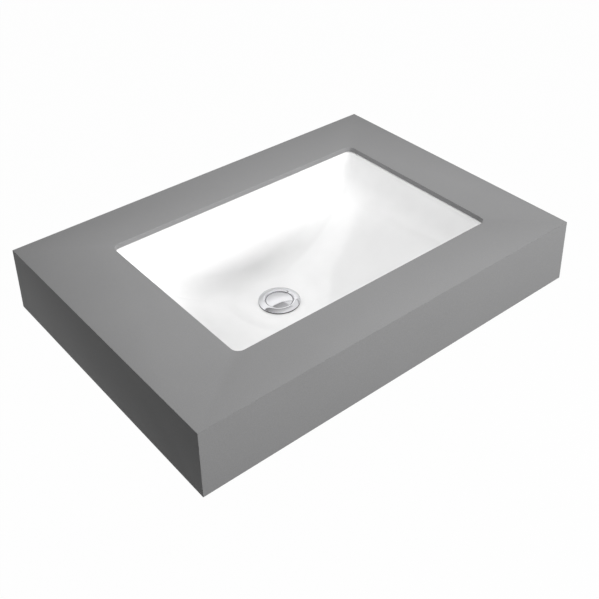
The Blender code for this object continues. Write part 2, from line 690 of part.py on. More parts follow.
def clip_mesh(pad_bottom):
    """A steel strap folded into a Z: one leg under the pad, one leg under the batten."""
    low = pad_bottom - FIT_GAP
    high = BATTEN_UNDERSIDE - FIT_GAP
    path = (
        (-PAD_INSET - PAD_LENGTH, low),
        (0, low),
        (BATTEN_CLEARANCE, high),
        (BATTEN_CLEARANCE + CLIP_LEG, high),
    )
    bm = bmesh.new()
    rows = [[bm.verts.new((x, side * CLIP_WIDTH / 2, z)) for side in (-1, 1)] for x, z in path]
    for (a, b), (c, d) in zip(rows, rows[1:]):
        bm.faces.new((a, b, d, c))
    folds = [bm.edges.get(row) for row in rows[1:-1]]
    bmesh.ops.bevel(bm, geom=folds, offset=CLIP_FOLD_RADIUS, segments=3, profile=0.5, affect="EDGES")
    bmesh.ops.recalc_face_normals(bm, faces=bm.faces[:])
    if bm.faces[:][0].normal.z < 0:
        bmesh.ops.reverse_faces(bm, faces=bm.faces[:])
    strap = add_object("strap", bpy.data.meshes.new("strap"))
    bm.to_mesh(strap.data)
    bm.free()
    thick = strap.modifiers.new("thickness", "SOLIDIFY")
    thick.thickness = CLIP_THICKNESS
    thick.offset = -1.0
    hole_radius = SCREW_SHANK_DIAMETER / 2 + SCREW_HOLE_CLEARANCE
    hole_x = BATTEN_CLEARANCE + CLIP_LEG / 2
    hole_base = high - CLIP_THICKNESS - CUT_OVERRUN
    hole_top = high + CUT_OVERRUN
    hole = rod("clip_hole", hole_radius, hole_base, hole_top, SMALL_SEGMENTS, location=(hole_x, 0, 0))
    combine(strap, [hole], "DIFFERENCE")
    mesh = strap.data
    bpy.data.objects.remove(strap, do_unlink=True)
    return mesh


def screw_mesh():
    """A pan-head wood screw, drawn from under the clip's leg up into the batten."""
    seat = BATTEN_UNDERSIDE - 2 * FIT_GAP - CLIP_THICKNESS
    shank = SCREW_SHANK_DIAMETER / 2
    head = SCREW_HEAD_DIAMETER / 2
    edge = SCREW_HEAD_HEIGHT / 2
    profile = [(0, BATTEN_UNDERSIDE + SCREW_BITE), (shank, BATTEN_UNDERSIDE + SCREW_BITE - shank)]
    profile += [(shank, seat), (head, seat)]
    profile += arc((head - edge, seat - SCREW_HEAD_HEIGHT + edge), edge, 0, -90, 3)
    profile += [(0, seat - SCREW_HEAD_HEIGHT)]
    screw = turned("screw", profile, SMALL_SEGMENTS)
    mesh = screw.data
    bpy.data.objects.remove(screw, do_unlink=True)
    return mesh


def make_clips(sites, steel, rubber):
    pad_top = FLANGE_UNDERSIDE - FIT_GAP
    pad_bottom = pad_top - PAD_THICKNESS
    clip = clip_mesh(pad_bottom)
    clip.materials.append(steel)
    screw = screw_mesh()
    screw.materials.append(steel)
    low = (-PAD_INSET - PAD_LENGTH, -CLIP_WIDTH / 2, pad_bottom)
    high = (-PAD_INSET, CLIP_WIDTH / 2, pad_top)
    pad = mesh_from(box_bmesh(low, high), "pad")
    pad.materials.append(rubber)
    for site in sites:
        placing = {"location": site["location"], "turn": site["turn"]}
        add_object(f"{site['name']}_clip", clip, **placing)
        add_object(f"{site['name']}_pad", pad, **placing)
        add_object(f"{site['name']}_screw", screw, location=screw_place(site), turn=site["turn"])


def cone_line(radius):
    """Height of the drain's cone at a radius, below its seat."""
    return radius - DRAIN_CONE_DIAMETER / 2


def make_waste_body(chrome, drain):
    rim = WASTE_FLANGE_DIAMETER / 2
    edge = WASTE_EDGE_RADIUS
    tube = TUBE_DIAMETER / 2
    bore = TUBE_BORE_DIAMETER / 2
    dish = WASTE_DISH_DIAMETER / 2
    dish_z = WASTE_RIM_HEIGHT - WASTE_DISH_DROP
    cone_start = DRAIN_CONE_DIAMETER / 2 + FIT_GAP - CONE_RISE
    ledge_z = -HOUSING_BASE - 2 * FIT_GAP - BRIDGE_HEIGHT
    profile = [(rim, FIT_GAP)]
    profile += arc((rim - edge, WASTE_RIM_HEIGHT - edge), edge, 0, 90)
    profile += [(dish, dish_z), (bore, dish_z - (dish - bore)), (bore, ledge_z)]
    profile += [(bore - TUBE_LEDGE, ledge_z), (bore - TUBE_LEDGE, -TUBE_LENGTH), (tube, -TUBE_LENGTH)]
    profile += [(tube, cone_line(tube) + CONE_RISE), (cone_start, FIT_GAP)]
    body = turned("waste_body", profile, material=chrome, location=drain)
    windows = []
    for i in range(WINDOWS):
        low = (0, -WINDOW_WIDTH / 2, -WINDOW_TOP - WINDOW_HEIGHT)
        high = (tube + CUT_OVERRUN, WINDOW_WIDTH / 2, -WINDOW_TOP)
        turn = math.radians(-90 + 360 * i / WINDOWS)
        windows.append(box("window", low, high, location=drain, turn=turn))
    combine(body, windows, "DIFFERENCE")


def make_waste_fixings(drain, rubber, nylon, brass):
    """The seals above and below the ceramic, and the washer and nut that pull the waste down."""
    seal_in = DRAIN_BORE_DIAMETER / 2 + FIT_GAP
    seal_out = seal_in + UPPER_SEAL_REACH
    rise = UPPER_SEAL_THICKNESS * math.sqrt(2)
    upper = [
        (seal_in, cone_line(seal_in) + SLOPE_GAP),
        (seal_out, cone_line(seal_out) + SLOPE_GAP),
        (seal_out, cone_line(seal_out) + SLOPE_GAP + rise),
        (seal_in, cone_line(seal_in) + SLOPE_GAP + rise),
    ]
    turned("upper_seal", upper, material=rubber, location=drain)

    inner = TUBE_DIAMETER / 2 + FIT_GAP
    seal_top = -BOSS_HEIGHT - FIT_GAP
    seal_base = seal_top - LOWER_SEAL_THICKNESS
    lower = [
        (inner, seal_top),
        (LOWER_SEAL_DIAMETER / 2, seal_top),
        (LOWER_SEAL_DIAMETER / 2 - LOWER_SEAL_TAPER, seal_base),
        (inner, seal_base),
    ]
    turned("lower_seal", lower, material=rubber, location=drain)

    washer_top = seal_base - FIT_GAP
    washer_base = washer_top - SLIP_WASHER_THICKNESS
    washer = [
        (inner, washer_top),
        (SLIP_WASHER_DIAMETER / 2, washer_top),
        (SLIP_WASHER_DIAMETER / 2, washer_base),
        (inner, washer_base),
    ]
    turned("slip_washer", washer, material=nylon, location=drain)

    nut_top = washer_base - FIT_GAP
    nut_base = nut_top - NUT_THICKNESS
    corner = NUT_ACROSS_FLATS / 2 / math.cos(math.radians(30))
    hexagon = arc((0, 0), corner, 0, 300, 5)
    nut = prism("lock_nut", hexagon, nut_base, nut_top, material=brass, location=drain)
    blank = turned(
        "nut_chamfer",
        [
            (0, nut_top),
            (corner, nut_top),
            (corner, nut_base + NUT_CHAMFER),
            (corner - NUT_CHAMFER, nut_base),
            (0, nut_base),
        ],
        location=drain,
    )
    combine(nut, [blank], "INTERSECT")
    bore = rod("nut_bore", inner, nut_base - CUT_OVERRUN, nut_top + CUT_OVERRUN, location=drain)
    combine(nut, [bore], "DIFFERENCE")


def make_mechanism(drain, brass, plastic, steel):
    """The bridge that spans the tube, the latch housing that stands on it, and the spring inside."""
    hub = PLUNGER_DIAMETER / 2 + FIT_GAP + HOUSING_WALL
    stud = STUD_DIAMETER / 2
    top = -HOUSING_BASE - FIT_GAP
    base = top - BRIDGE_HEIGHT
    ring = TUBE_BORE_DIAMETER / 2 - FIT_GAP
    bridge = turned(
        "bridge",
        [(ring, top), (ring, base), (ring - BRIDGE_RING_WIDTH, base), (ring - BRIDGE_RING_WIDTH, top)],
        material=brass,
        location=drain,
    )
    parts = [rod("hub", hub, base, top, location=drain)]
    for i in range(SPOKES):
        low = (hub / 2, -SPOKE_WIDTH / 2, base + FIT_GAP)
        high = (ring - BRIDGE_RING_WIDTH / 2, SPOKE_WIDTH / 2, top - FIT_GAP)
        parts.append(box("spoke", low, high, location=drain, turn=math.radians(90 + 360 * i / SPOKES)))
    combine(bridge, parts, "UNION")
    bore = rod("hub_bore", stud + FIT_GAP, base - CUT_OVERRUN, top + CUT_OVERRUN, location=drain)
    combine(bridge, [bore], "DIFFERENCE")

    inner = PLUNGER_DIAMETER / 2 + FIT_GAP
    floor = -HOUSING_BASE + HOUSING_FLOOR
    housing = [
        (0, floor),
        (inner, floor),
        (inner, -HOUSING_TOP),
        (hub, -HOUSING_TOP),
        (hub, -HOUSING_BASE),
        (stud, -HOUSING_BASE),
        (stud, -HOUSING_BASE - STUD_LENGTH),
        (0, -HOUSING_BASE - STUD_LENGTH),
    ]
    turned("latch_housing", housing, material=plastic, location=drain)

    wire = SPRING_WIRE / 2
    low = floor + FIT_GAP + wire
    high = plunger_base() - FIT_GAP - wire
    curve = bpy.data.curves.new("spring", "CURVE")
    curve.dimensions = "3D"
    curve.bevel_depth = wire
    curve.bevel_resolution = 1
    curve.use_fill_caps = True
    spline = curve.splines.new("POLY")
    count = SPRING_TURNS * SPRING_POINTS_PER_TURN
    spline.points.add(count)
    radius = (SPRING_DIAMETER - SPRING_WIRE) / 2
    for i in range(count + 1):
        angle = 2 * math.pi * i / SPRING_POINTS_PER_TURN
        height = low + (high - low) * i / count
        spline.points[i].co = (radius * math.cos(angle), radius * math.sin(angle), height, 1.0)
    coil = add_object("coil", curve, location=drain)
    graph = bpy.context.evaluated_depsgraph_get()
    mesh = bpy.data.meshes.new_from_object(coil.evaluated_get(graph))
    bpy.data.objects.remove(coil, do_unlink=True)
    mesh.shade_smooth()
    add_object("spring", mesh, steel, location=drain)


def cap_levels():
    """Heights under the cap: the disc's underside, and the lip's top and bottom."""
    section = CAP_SEAL_SECTION / 2
    disc = -CAP_SEAL_HEIGHT + section + FIT_GAP
    lip_top = -CAP_SEAL_HEIGHT - section - FIT_GAP
    return disc, lip_top, lip_top - CAP_LIP_THICKNESS


def plunger_base():
    """The plunger's foot: it stays in the housing by its engagement when the cap is up."""
    return -HOUSING_TOP - CAP_TRAVEL - PLUNGER_ENGAGEMENT


def make_pop_up(drain, chrome, rubber, brass):
    """The cap, its sealing ring and the plunger: the pieces that rise together."""
    disc, lip_top, lip_base = cap_levels()
    section = CAP_SEAL_SECTION / 2
    dish_z = WASTE_RIM_HEIGHT - WASTE_DISH_DROP
    seat_offset = dish_z - WASTE_DISH_DIAMETER / 2
    ring = -CAP_SEAL_HEIGHT - seat_offset - (section + FIT_GAP) * math.sqrt(2)
    neck = ring - section - FIT_GAP
    edge = CAP_DIAMETER / 2
    stud = STUD_DIAMETER / 2
    stud_top = lip_base - FIT_GAP + STUD_LENGTH

    sagitta = CAP_CROWN_HEIGHT - CAP_EDGE_HEIGHT
    half_chord = edge - CAP_EDGE_RADIUS
    crown_radius = (half_chord**2 + sagitta**2) / (2 * sagitta)
    crown = []
    for i in range(ARC_STEPS + 1):
        r = half_chord * i / ARC_STEPS
        crown.append((r, CAP_CROWN_HEIGHT - crown_radius + math.sqrt(crown_radius**2 - r**2)))
    profile = crown
    profile += arc((edge - CAP_EDGE_RADIUS, CAP_EDGE_HEIGHT - CAP_EDGE_RADIUS), CAP_EDGE_RADIUS, 60, 0, 2)
    profile += [(edge, disc), (neck, disc), (neck, lip_top), (neck + CAP_LIP_OVERHANG, lip_top)]
    profile += [(neck + CAP_LIP_OVERHANG, lip_base), (stud + FIT_GAP, lip_base)]
    profile += [(stud + FIT_GAP, stud_top + FIT_GAP), (0, stud_top + FIT_GAP)]
    turned("cap", profile, material=chrome, location=drain)
    turned("cap_seal", arc((ring, -CAP_SEAL_HEIGHT), section, 0, 315, 7), material=rubber, location=drain)

    shoulder = lip_base - FIT_GAP
    stem = PLUNGER_DIAMETER / 2
    plunger = [(0, stud_top), (stud, stud_top), (stud, shoulder), (stem, shoulder)]
    plunger += [(stem, plunger_base()), (0, plunger_base())]
    turned("plunger", plunger, material=brass, location=drain)


def main():
    clear_scene()
    sheet = make_material("grey_sheet", (0.27, 0.27, 0.275), 0.45)
    plywood = make_material("plywood", (0.55, 0.38, 0.22), 0.75)
    ceramic = make_material("white_glaze", (0.86, 0.86, 0.86), 0.08)
    silicone = make_material("silicone", (0.75, 0.75, 0.75), 0.4)
    steel = make_material("zinc_steel", (0.62, 0.62, 0.60), 0.35, 1.0)
    rubber = make_material("black_rubber", (0.03, 0.03, 0.03), 0.8)
    chrome = make_material("chrome", (0.80, 0.80, 0.82), 0.08, 1.0)
    brass = make_material("brass", (0.72, 0.55, 0.28), 0.3, 1.0)
    nylon = make_material("white_nylon", (0.80, 0.80, 0.78), 0.5)
    plastic = make_material("grey_plastic", (0.35, 0.35, 0.36), 0.5)

    sites = clip_sites()
    drain = (BOWL_X, DRAIN_Y, SEAT_Z)
    make_counter(sheet)
    make_sub_frame(plywood, sites)
    make_basin(ceramic)
    make_sealant(silicone)
    make_clips(sites, steel, rubber)
    make_waste_body(chrome, drain)
    make_waste_fixings(drain, rubber, nylon, brass)
    make_mechanism(drain, brass, plastic, steel)
    make_pop_up(drain, chrome, rubber, brass)


main()
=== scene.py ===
# %% [markdown]
# A basin under a grey counter, dressed for its portrait
#
# The counter, its white basin and the chrome pop-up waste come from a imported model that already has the
# right sizes, and everything that moves. This script only gives them their looks: fine surfaces, finishes,
# light and a camera. It works in metres, with X along the counter, Y towards the wall and Z up.

# %% Load the fixed frame
import math

import bmesh
import bpy
from mathutils import Matrix, Vector


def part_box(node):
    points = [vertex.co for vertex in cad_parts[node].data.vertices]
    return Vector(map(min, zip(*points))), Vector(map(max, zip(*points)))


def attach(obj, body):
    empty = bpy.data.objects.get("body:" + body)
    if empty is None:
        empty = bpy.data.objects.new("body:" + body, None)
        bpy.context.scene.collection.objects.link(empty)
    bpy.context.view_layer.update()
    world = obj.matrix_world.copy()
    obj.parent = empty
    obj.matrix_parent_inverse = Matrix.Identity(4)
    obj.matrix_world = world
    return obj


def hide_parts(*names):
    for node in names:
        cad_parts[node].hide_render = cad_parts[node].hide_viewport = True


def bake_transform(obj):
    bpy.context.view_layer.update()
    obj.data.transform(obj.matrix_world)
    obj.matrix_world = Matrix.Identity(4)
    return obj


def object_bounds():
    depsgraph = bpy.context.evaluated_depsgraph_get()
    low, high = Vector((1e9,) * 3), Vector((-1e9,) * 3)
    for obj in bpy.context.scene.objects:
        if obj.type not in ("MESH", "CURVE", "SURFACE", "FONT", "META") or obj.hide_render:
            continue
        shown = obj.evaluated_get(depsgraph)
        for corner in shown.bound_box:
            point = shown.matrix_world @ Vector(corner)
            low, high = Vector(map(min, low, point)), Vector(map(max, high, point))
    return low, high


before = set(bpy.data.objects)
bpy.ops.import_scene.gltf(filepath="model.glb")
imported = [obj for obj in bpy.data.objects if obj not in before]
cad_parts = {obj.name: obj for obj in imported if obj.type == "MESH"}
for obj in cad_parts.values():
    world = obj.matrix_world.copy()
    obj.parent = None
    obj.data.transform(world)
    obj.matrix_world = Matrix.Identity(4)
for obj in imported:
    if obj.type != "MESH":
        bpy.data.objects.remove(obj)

CAD_LOW, CAD_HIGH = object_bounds()
print("The model's box in millimetres:", [round(side * 1000) for side in CAD_HIGH - CAD_LOW])

# %% [markdown]
# The camera
#
# Seven corners of the counter can be seen, and the counter's size is known, so the place of the lens can be
# worked out. The picture was cropped after it was taken: its optical axis passes above the middle of the
# frame. Blender's lens shift repeats such a crop without bending any line.

# %% Camera at the photograph's angle
PICTURE_SIDE = 599
FOCAL_LENGTH_PIXELS = 981.6
AXIS_PIXEL = (311.3, 166.5)
SENSOR_WIDTH_MM = 36.0
CAMERA_PLACE = (-0.7265, -1.1554, 0.8324)
CAMERA_AZIMUTH = math.radians(39.46)
CAMERA_ELEVATION = math.radians(29.87)
CAMERA_ROLL = math.radians(-0.734)

lens = bpy.data.cameras.new("camera")
lens.sensor_width = SENSOR_WIDTH_MM
lens.lens = FOCAL_LENGTH_PIXELS / PICTURE_SIDE * SENSOR_WIDTH_MM
lens.shift_x = (PICTURE_SIDE / 2 - AXIS_PIXEL[0]) / PICTURE_SIDE
lens.shift_y = (AXIS_PIXEL[1] - PICTURE_SIDE / 2) / PICTURE_SIDE
camera = bpy.data.objects.new("camera", lens)
bpy.context.scene.collection.objects.link(camera)
tilt = Matrix.Rotation(math.radians(90) - CAMERA_ELEVATION, 4, "X")
turn = Matrix.Rotation(-CAMERA_AZIMUTH, 4, "Z")
roll = Matrix.Rotation(CAMERA_ROLL, 4, "Z")
camera.matrix_world = Matrix.Translation(CAMERA_PLACE) @ turn @ tilt @ roll
bpy.context.scene.camera = camera
bpy.context.scene.view_settings.view_transform = "Standard"
print("Lens of", round(lens.lens, 1), "mm, shifted by", round(lens.shift_x, 3), round(lens.shift_y, 3))

# %% [markdown]
# Small tools for finishes
#
# Every finish is one Principled shader, which can be metal, glaze, wood or rubber by its values alone.
# Values that are the same all over a piece sit on the shader's own sockets. What varies comes from nodes
# wired to it.

# %% A finish and its nodes
def finish_of(name, colour, roughness, **settings):
    """A new material with constant values on its Principled shader."""
    finish = bpy.data.materials.new(name)
    finish.use_nodes = True
    finish.diffuse_color = (*colour, 1.0)
    shader = finish.node_tree.nodes["Principled BSDF"]
    shader.inputs["Base Color"].default_value = (*colour, 1.0)
    shader.inputs["Roughness"].default_value = roughness
    for socket, value in settings.items():
        shader.inputs[socket.replace("_", " ")].default_value = value
    return finish


def node(finish, kind, values=None, **settings):
    """Adds a node, sets its choices, and sets or links its inputs."""
    made = finish.node_tree.nodes.new("ShaderNode" + kind)
    for setting, choice in settings.items():
        setattr(made, setting, choice)
    for socket, value in (values or {}).items():
        if isinstance(value, bpy.types.NodeSocket):
            finish.node_tree.links.new(value, made.inputs[socket])
        else:
            made.inputs[socket].default_value = value
    return made


def wire(finish, socket, value):
    """Links a value to the finish's own shader."""
    shader = finish.node_tree.nodes["Principled BSDF"]
    finish.node_tree.links.new(value, shader.inputs[socket])


# %% [markdown]
# Noise
#
# A real surface is never even. Noise is a field of smooth random hills, and one such field can vary colour,
# gloss and relief. It lives in the piece's own coordinates, so it moves with the piece, and its features are
# given in metres, so that a grain of 0.7 mm is written as 0.0007.

# %% Noise in a piece's own coordinates
def own_place(finish, stretch=(1, 1, 1)):
    """The piece's own coordinates, in metres, multiplied along each axis."""
    place = node(finish, "TexCoord").outputs["Object"]
    return node(finish, "Mapping", {"Vector": place, "Scale": stretch}).outputs["Vector"]


def noise(finish, size, detail=2.0, stretch=(1, 1, 1)):
    """Noise between 0 and 1 with features of about the given size, in metres."""
    place = own_place(finish, stretch)
    values = {"Vector": place, "Scale": 1 / size, "Detail": detail}
    return node(finish, "TexNoise", values).outputs["Fac"]


# %% [markdown]
# From noise to a look
#
# Most noise values lie between 0.3 and 0.7. Spreading that middle part over a range gives uneven gloss, a
# ramp between two colours gives mottling, and a bump node tilts the surface as if it had hills of a real
# depth.

# %% Ranges, colours and relief
def spread(finish, value, low, high, start=0.3, end=0.7):
    """Maps a noise value to a range."""
    values = {"Value": value, "From Min": start, "From Max": end, "To Min": low, "To Max": high}
    return node(finish, "MapRange", values).outputs["Result"]


def tinted(finish, value, dark, light, start=0.3, end=0.7):
    """A colour between two colours, picked by a noise value."""
    ramp = node(finish, "ValToRGB", {"Fac": value})
    ramp.color_ramp.elements[0].position = start
    ramp.color_ramp.elements[0].color = (*dark, 1.0)
    ramp.color_ramp.elements[1].position = end
    ramp.color_ramp.elements[1].color = (*light, 1.0)
    return ramp.outputs["Color"]


def relief(finish, height, depth):
    """Bumps of the given depth in metres."""
    bump = node(finish, "Bump", {"Height": height, "Distance": depth, "Strength": 1.0})
    wire(finish, "Normal", bump.outputs["Normal"])


def shade_of(colour, factor):
    """A darker or lighter shade of a colour."""
    return tuple(channel * factor for channel in colour)


def told(*finishes):
    """Prints the names of finishes and how many nodes each has."""
    for finish in finishes:
        print(f"{finish.name}: {len(finish.node_tree.nodes)} nodes")


# %% [markdown]
# The sheet
#
# The counter is a honed mid-grey sheet. Close up, such a sheet has a very fine grain of darker and lighter
# specks, a slow drift of tone, and a satin gloss that is broken by tiny pits. Seen whole it is almost even.

# %% Honed grey sheet
SHEET_GREY = (0.250, 0.250, 0.252)
SPECK_SIZE = 0.0007
DRIFT_SIZE = 0.090
DRIFT_SHARE = 0.15
SPECK_DEPTH = 0.000012

sheet_finish = finish_of("honed_grey_sheet", SHEET_GREY, 0.54, Specular_IOR_Level=0.08)
specks = noise(sheet_finish, SPECK_SIZE, detail=4.0)
drift = noise(sheet_finish, DRIFT_SIZE)
grain = node(sheet_finish, "Math", {0: drift, 1: DRIFT_SHARE, 2: specks}, operation="MULTIPLY_ADD").outputs[0]
wire(sheet_finish, "Base Color", tinted(
    sheet_finish, spread(sheet_finish, grain, 0, 1, 0.3, 0.85),
    shade_of(SHEET_GREY, 0.86), shade_of(SHEET_GREY, 1.14), 0.0, 1.0))
wire(sheet_finish, "Roughness", spread(sheet_finish, drift, 0.52, 0.56))
relief(sheet_finish, specks, SPECK_DEPTH)
told(sheet_finish)

# %% [markdown]
# The glaze
#
# Sanitary ware is dipped in a thick white glaze. It flows a little before it sets, so reflections swim
# slightly, and it has a clear gloss with a whisper of orange peel. A thin coat over the shader stands for the
# depth of the glass.

# %% White glaze
GLAZE_WHITE = (0.89, 0.89, 0.89)
FLOW_SIZE = 0.035
GLOSS_PATCH = 0.012
PEEL_SIZE = 0.006
PEEL_DEPTH = 0.000010

glaze = finish_of("white_glaze", GLAZE_WHITE, 0.06, Coat_Weight=0.35, Coat_Roughness=0.02)
flow = noise(glaze, FLOW_SIZE, detail=1.0)
wire(glaze, "Base Color", tinted(glaze, flow, shade_of(GLAZE_WHITE, 0.985), shade_of(GLAZE_WHITE, 1.01)))
wire(glaze, "Roughness", spread(glaze, noise(glaze, GLOSS_PATCH), 0.04, 0.09))
relief(glaze, noise(glaze, PEEL_SIZE, detail=0.0), PEEL_DEPTH)

# %% Fired clay, bare where the glaze is ground off
CLAY = (0.80, 0.78, 0.74)
CLAY_DARK = (0.74, 0.72, 0.67)
CLAY_LIGHT = (0.84, 0.82, 0.78)
CLAY_GRAIN = 0.0012
CLAY_DEPTH = 0.00006

biscuit = finish_of("wiped_biscuit", CLAY, 0.75)
fired = noise(biscuit, CLAY_GRAIN, detail=5.0)
wire(biscuit, "Base Color", tinted(biscuit, fired, CLAY_DARK, CLAY_LIGHT))
relief(biscuit, fired, CLAY_DEPTH)
told(glaze, biscuit)

# %% [markdown]
# Chrome
#
# Chrome plate is nearly a mirror. Its polish leaves hair-fine scratches, and water leaves a faint haze, so
# the roughness wanders a little. What it looks like is mostly what it mirrors.

# %% Chrome plate
CHROME_GREY = (0.71, 0.71, 0.73)
HAZE_SIZE = 0.004
RIPPLE_SIZE = 0.0025
RIPPLE_DEPTH = 0.000002

chrome = finish_of("chrome_plate", CHROME_GREY, 0.06, Metallic=1.0)
wire(chrome, "Roughness", spread(chrome, noise(chrome, HAZE_SIZE, detail=6.0), 0.04, 0.10))
relief(chrome, noise(chrome, RIPPLE_SIZE, detail=1.0), RIPPLE_DEPTH)
told(chrome)

# %% [markdown]
# Turned brass
#
# Brass fittings come off a lathe, and its tool leaves fine rings round the axis. Noise that only knows a
# point's radius and height draws such rings. The radius is worked out in nodes, as the root of two squares.

# %% Machined brass
def turned_place(finish):
    """Coordinates that are the same all round the axis: radius and height, in metres."""
    parts = node(finish, "SeparateXYZ", {"Vector": own_place(finish)}).outputs
    squares = [node(finish, "Math", {0: parts[axis], 1: 2.0}, operation="POWER").outputs[0] for axis in "XY"]
    total = node(finish, "Math", {0: squares[0], 1: squares[1]}, operation="ADD").outputs[0]
    radius = node(finish, "Math", {0: total}, operation="SQRT").outputs[0]
    return node(finish, "CombineXYZ", {"X": radius, "Z": parts["Z"]}).outputs[0]


BRASS_YELLOW = (0.72, 0.55, 0.28)
TOOL_MARK = 0.00035
MARK_DEPTH = 0.000006
TARNISH_SIZE = 0.007

brass = finish_of("machined_brass", BRASS_YELLOW, 0.30, Metallic=1.0)
marks = node(brass, "TexNoise", {"Vector": turned_place(brass), "Scale": 1 / TOOL_MARK}).outputs["Fac"]
tarnish = noise(brass, TARNISH_SIZE, detail=4.0)
wire(brass, "Base Color", tinted(brass, tarnish, shade_of(BRASS_YELLOW, 0.80), shade_of(BRASS_YELLOW, 1.05)))
wire(brass, "Roughness", spread(brass, marks, 0.22, 0.38))
relief(brass, marks, MARK_DEPTH)
told(brass)

# %% [markdown]
# Zinc plate
#
# The steel clips and screws are pressed, not turned. Their bright zinc plate has a faint cloudiness, bluish
# and straw-coloured in turn, and small dents in no special direction.

# %% Bright zinc
ZINC_GREY = (0.62, 0.62, 0.60)
ZINC_BLUISH = (0.54, 0.56, 0.58)
ZINC_STRAW = (0.68, 0.67, 0.62)
CLOUD_SIZE = 0.004
DENT_SIZE = 0.0006
DENT_DEPTH = 0.000008

zinc = finish_of("bright_zinc", ZINC_GREY, 0.35, Metallic=1.0)
cloud = noise(zinc, CLOUD_SIZE, detail=5.0)
wire(zinc, "Base Color", tinted(zinc, cloud, ZINC_BLUISH, ZINC_STRAW))
wire(zinc, "Roughness", spread(zinc, cloud, 0.26, 0.44))
relief(zinc, noise(zinc, DENT_SIZE, detail=6.0), DENT_DEPTH)
told(zinc)

# %% [markdown]
# Rubber, nylon, acetal and silicone
#
# The soft and moulded pieces are dull. Rubber has a powdery bloom, nylon a waxy skin, the grey acetal of the
# latch a fine spark-eroded mould texture, and the silicone bead a skin that the finger which smoothed it left
# slightly wavy.

# %% Moulded finishes
PATCH_SIZE = 0.005
UNEVEN_GLOSS = 0.07


def moulded(name, colour, roughness, uneven, grain, depth):
    """A moulded finish: a colour that varies by a share, uneven gloss and a fine mould grain."""
    finish = finish_of(name, colour, roughness)
    patches = noise(finish, PATCH_SIZE, detail=3.0)
    dark, light = shade_of(colour, 1 - uneven), shade_of(colour, 1 + uneven)
    wire(finish, "Base Color", tinted(finish, patches, dark, light))
    wire(finish, "Roughness", spread(finish, patches, roughness - UNEVEN_GLOSS, roughness + UNEVEN_GLOSS))
    relief(finish, noise(finish, grain, detail=4.0), depth)
    return finish


rubber = moulded("black_rubber", (0.030, 0.030, 0.030), 0.78, uneven=0.30, grain=0.0005, depth=0.000030)
nylon = moulded("white_nylon", (0.80, 0.80, 0.78), 0.50, uneven=0.04, grain=0.0007, depth=0.000010)
acetal = moulded("grey_acetal", (0.35, 0.35, 0.36), 0.46, uneven=0.06, grain=0.0003, depth=0.000012)
silicone = moulded("white_silicone", (0.75, 0.75, 0.75), 0.38, uneven=0.03, grain=0.006, depth=0.000080)
told(rubber, nylon, acetal, silicone)

# %% [markdown]
# Plywood
#
# The frame below the deck is sealed plywood. Its faces show one veneer with long grain. Its edges show the
# whole stack: veneers that run along the board, darker end grain of those that run across, and thin lines of
# glue. A board's own Z is its thickness here, so the veneer that a point lies in is its height divided by the
# veneer's thickness.

# %% Which veneer a point lies in
VENEER = 0.0014
GLUE_SHARE = 0.09
BIRCH_LIGHT = (0.66, 0.48, 0.30)

plywood = finish_of("sealed_plywood", BIRCH_LIGHT, 0.60)
height = node(plywood, "SeparateXYZ", {"Vector": own_place(plywood)}).outputs["Z"]
layer = node(plywood, "Math", {0: height, 1: 1 / VENEER, 2: 0.5}, operation="MULTIPLY_ADD").outputs[0]
within = node(plywood, "Math", {0: layer}, operation="FRACT").outputs[0]
number = node(plywood, "Math", {0: layer}, operation="FLOOR").outputs[0]
crosswise = node(plywood, "Math", {0: number, 1: 1.0}, operation="PINGPONG").outputs[0]
glued = node(plywood, "Math", {0: within, 1: GLUE_SHARE}, operation="LESS_THAN").outputs[0]
print("Veneers", VENEER * 1000, "mm thick, glue lines", round(VENEER * GLUE_SHARE * 1000, 2), "mm")

# %% [markdown]
# Wood grain is noise that is drawn out along the fibres. The two kinds of veneer have their own grain and
# colours, and every other layer shows the second kind. The dark glue is laid over both.

# %% Grain and glue lines
FIBRE_SIZE = 0.0022
FIBRE_STRETCH = 0.035
FIBRE_DEPTH = 0.00008
BIRCH_DARK = (0.46, 0.30, 0.16)
END_GRAIN = (0.36, 0.23, 0.12)
GLUE_BROWN = (0.16, 0.09, 0.05)

long_grain = noise(plywood, FIBRE_SIZE, detail=6.0, stretch=(FIBRE_STRETCH, 1, 1))
cross_grain = noise(plywood, FIBRE_SIZE, detail=6.0, stretch=(1, FIBRE_STRETCH, 1))


def laid_over(finish, share, under, over):
    """One colour over another, by a share between 0 and 1."""
    mix = finish.node_tree.nodes.new("ShaderNodeMix")
    mix.data_type = "RGBA"
    for socket, value in zip((mix.inputs["Factor"], mix.inputs[6], mix.inputs[7]), (share, under, over)):
        if isinstance(value, bpy.types.NodeSocket):
            finish.node_tree.links.new(value, socket)
        else:
            socket.default_value = (*value, 1.0)
    return mix.outputs[2]


veneers = laid_over(plywood, crosswise, tinted(plywood, long_grain, BIRCH_DARK, BIRCH_LIGHT),
                    tinted(plywood, cross_grain, END_GRAIN, BIRCH_DARK))
wire(plywood, "Base Color", laid_over(plywood, glued, veneers, GLUE_BROWN))
wire(plywood, "Roughness", spread(plywood, long_grain, 0.52, 0.68))
relief(plywood, long_grain, FIBRE_DEPTH)
told(plywood)

# %% [markdown]
# Small tools for shapes
#
# Most small pieces here are turned on a lathe or cut from sheet, so each begins as an outline. No real edge
# is knife sharp: every corner of the outline is replaced by a short curve that starts and ends on its two
# sides.

# %% Easing the corners of an outline
NEARLY_STRAIGHT = math.radians(88)
SIDE_SHARE = 0.45


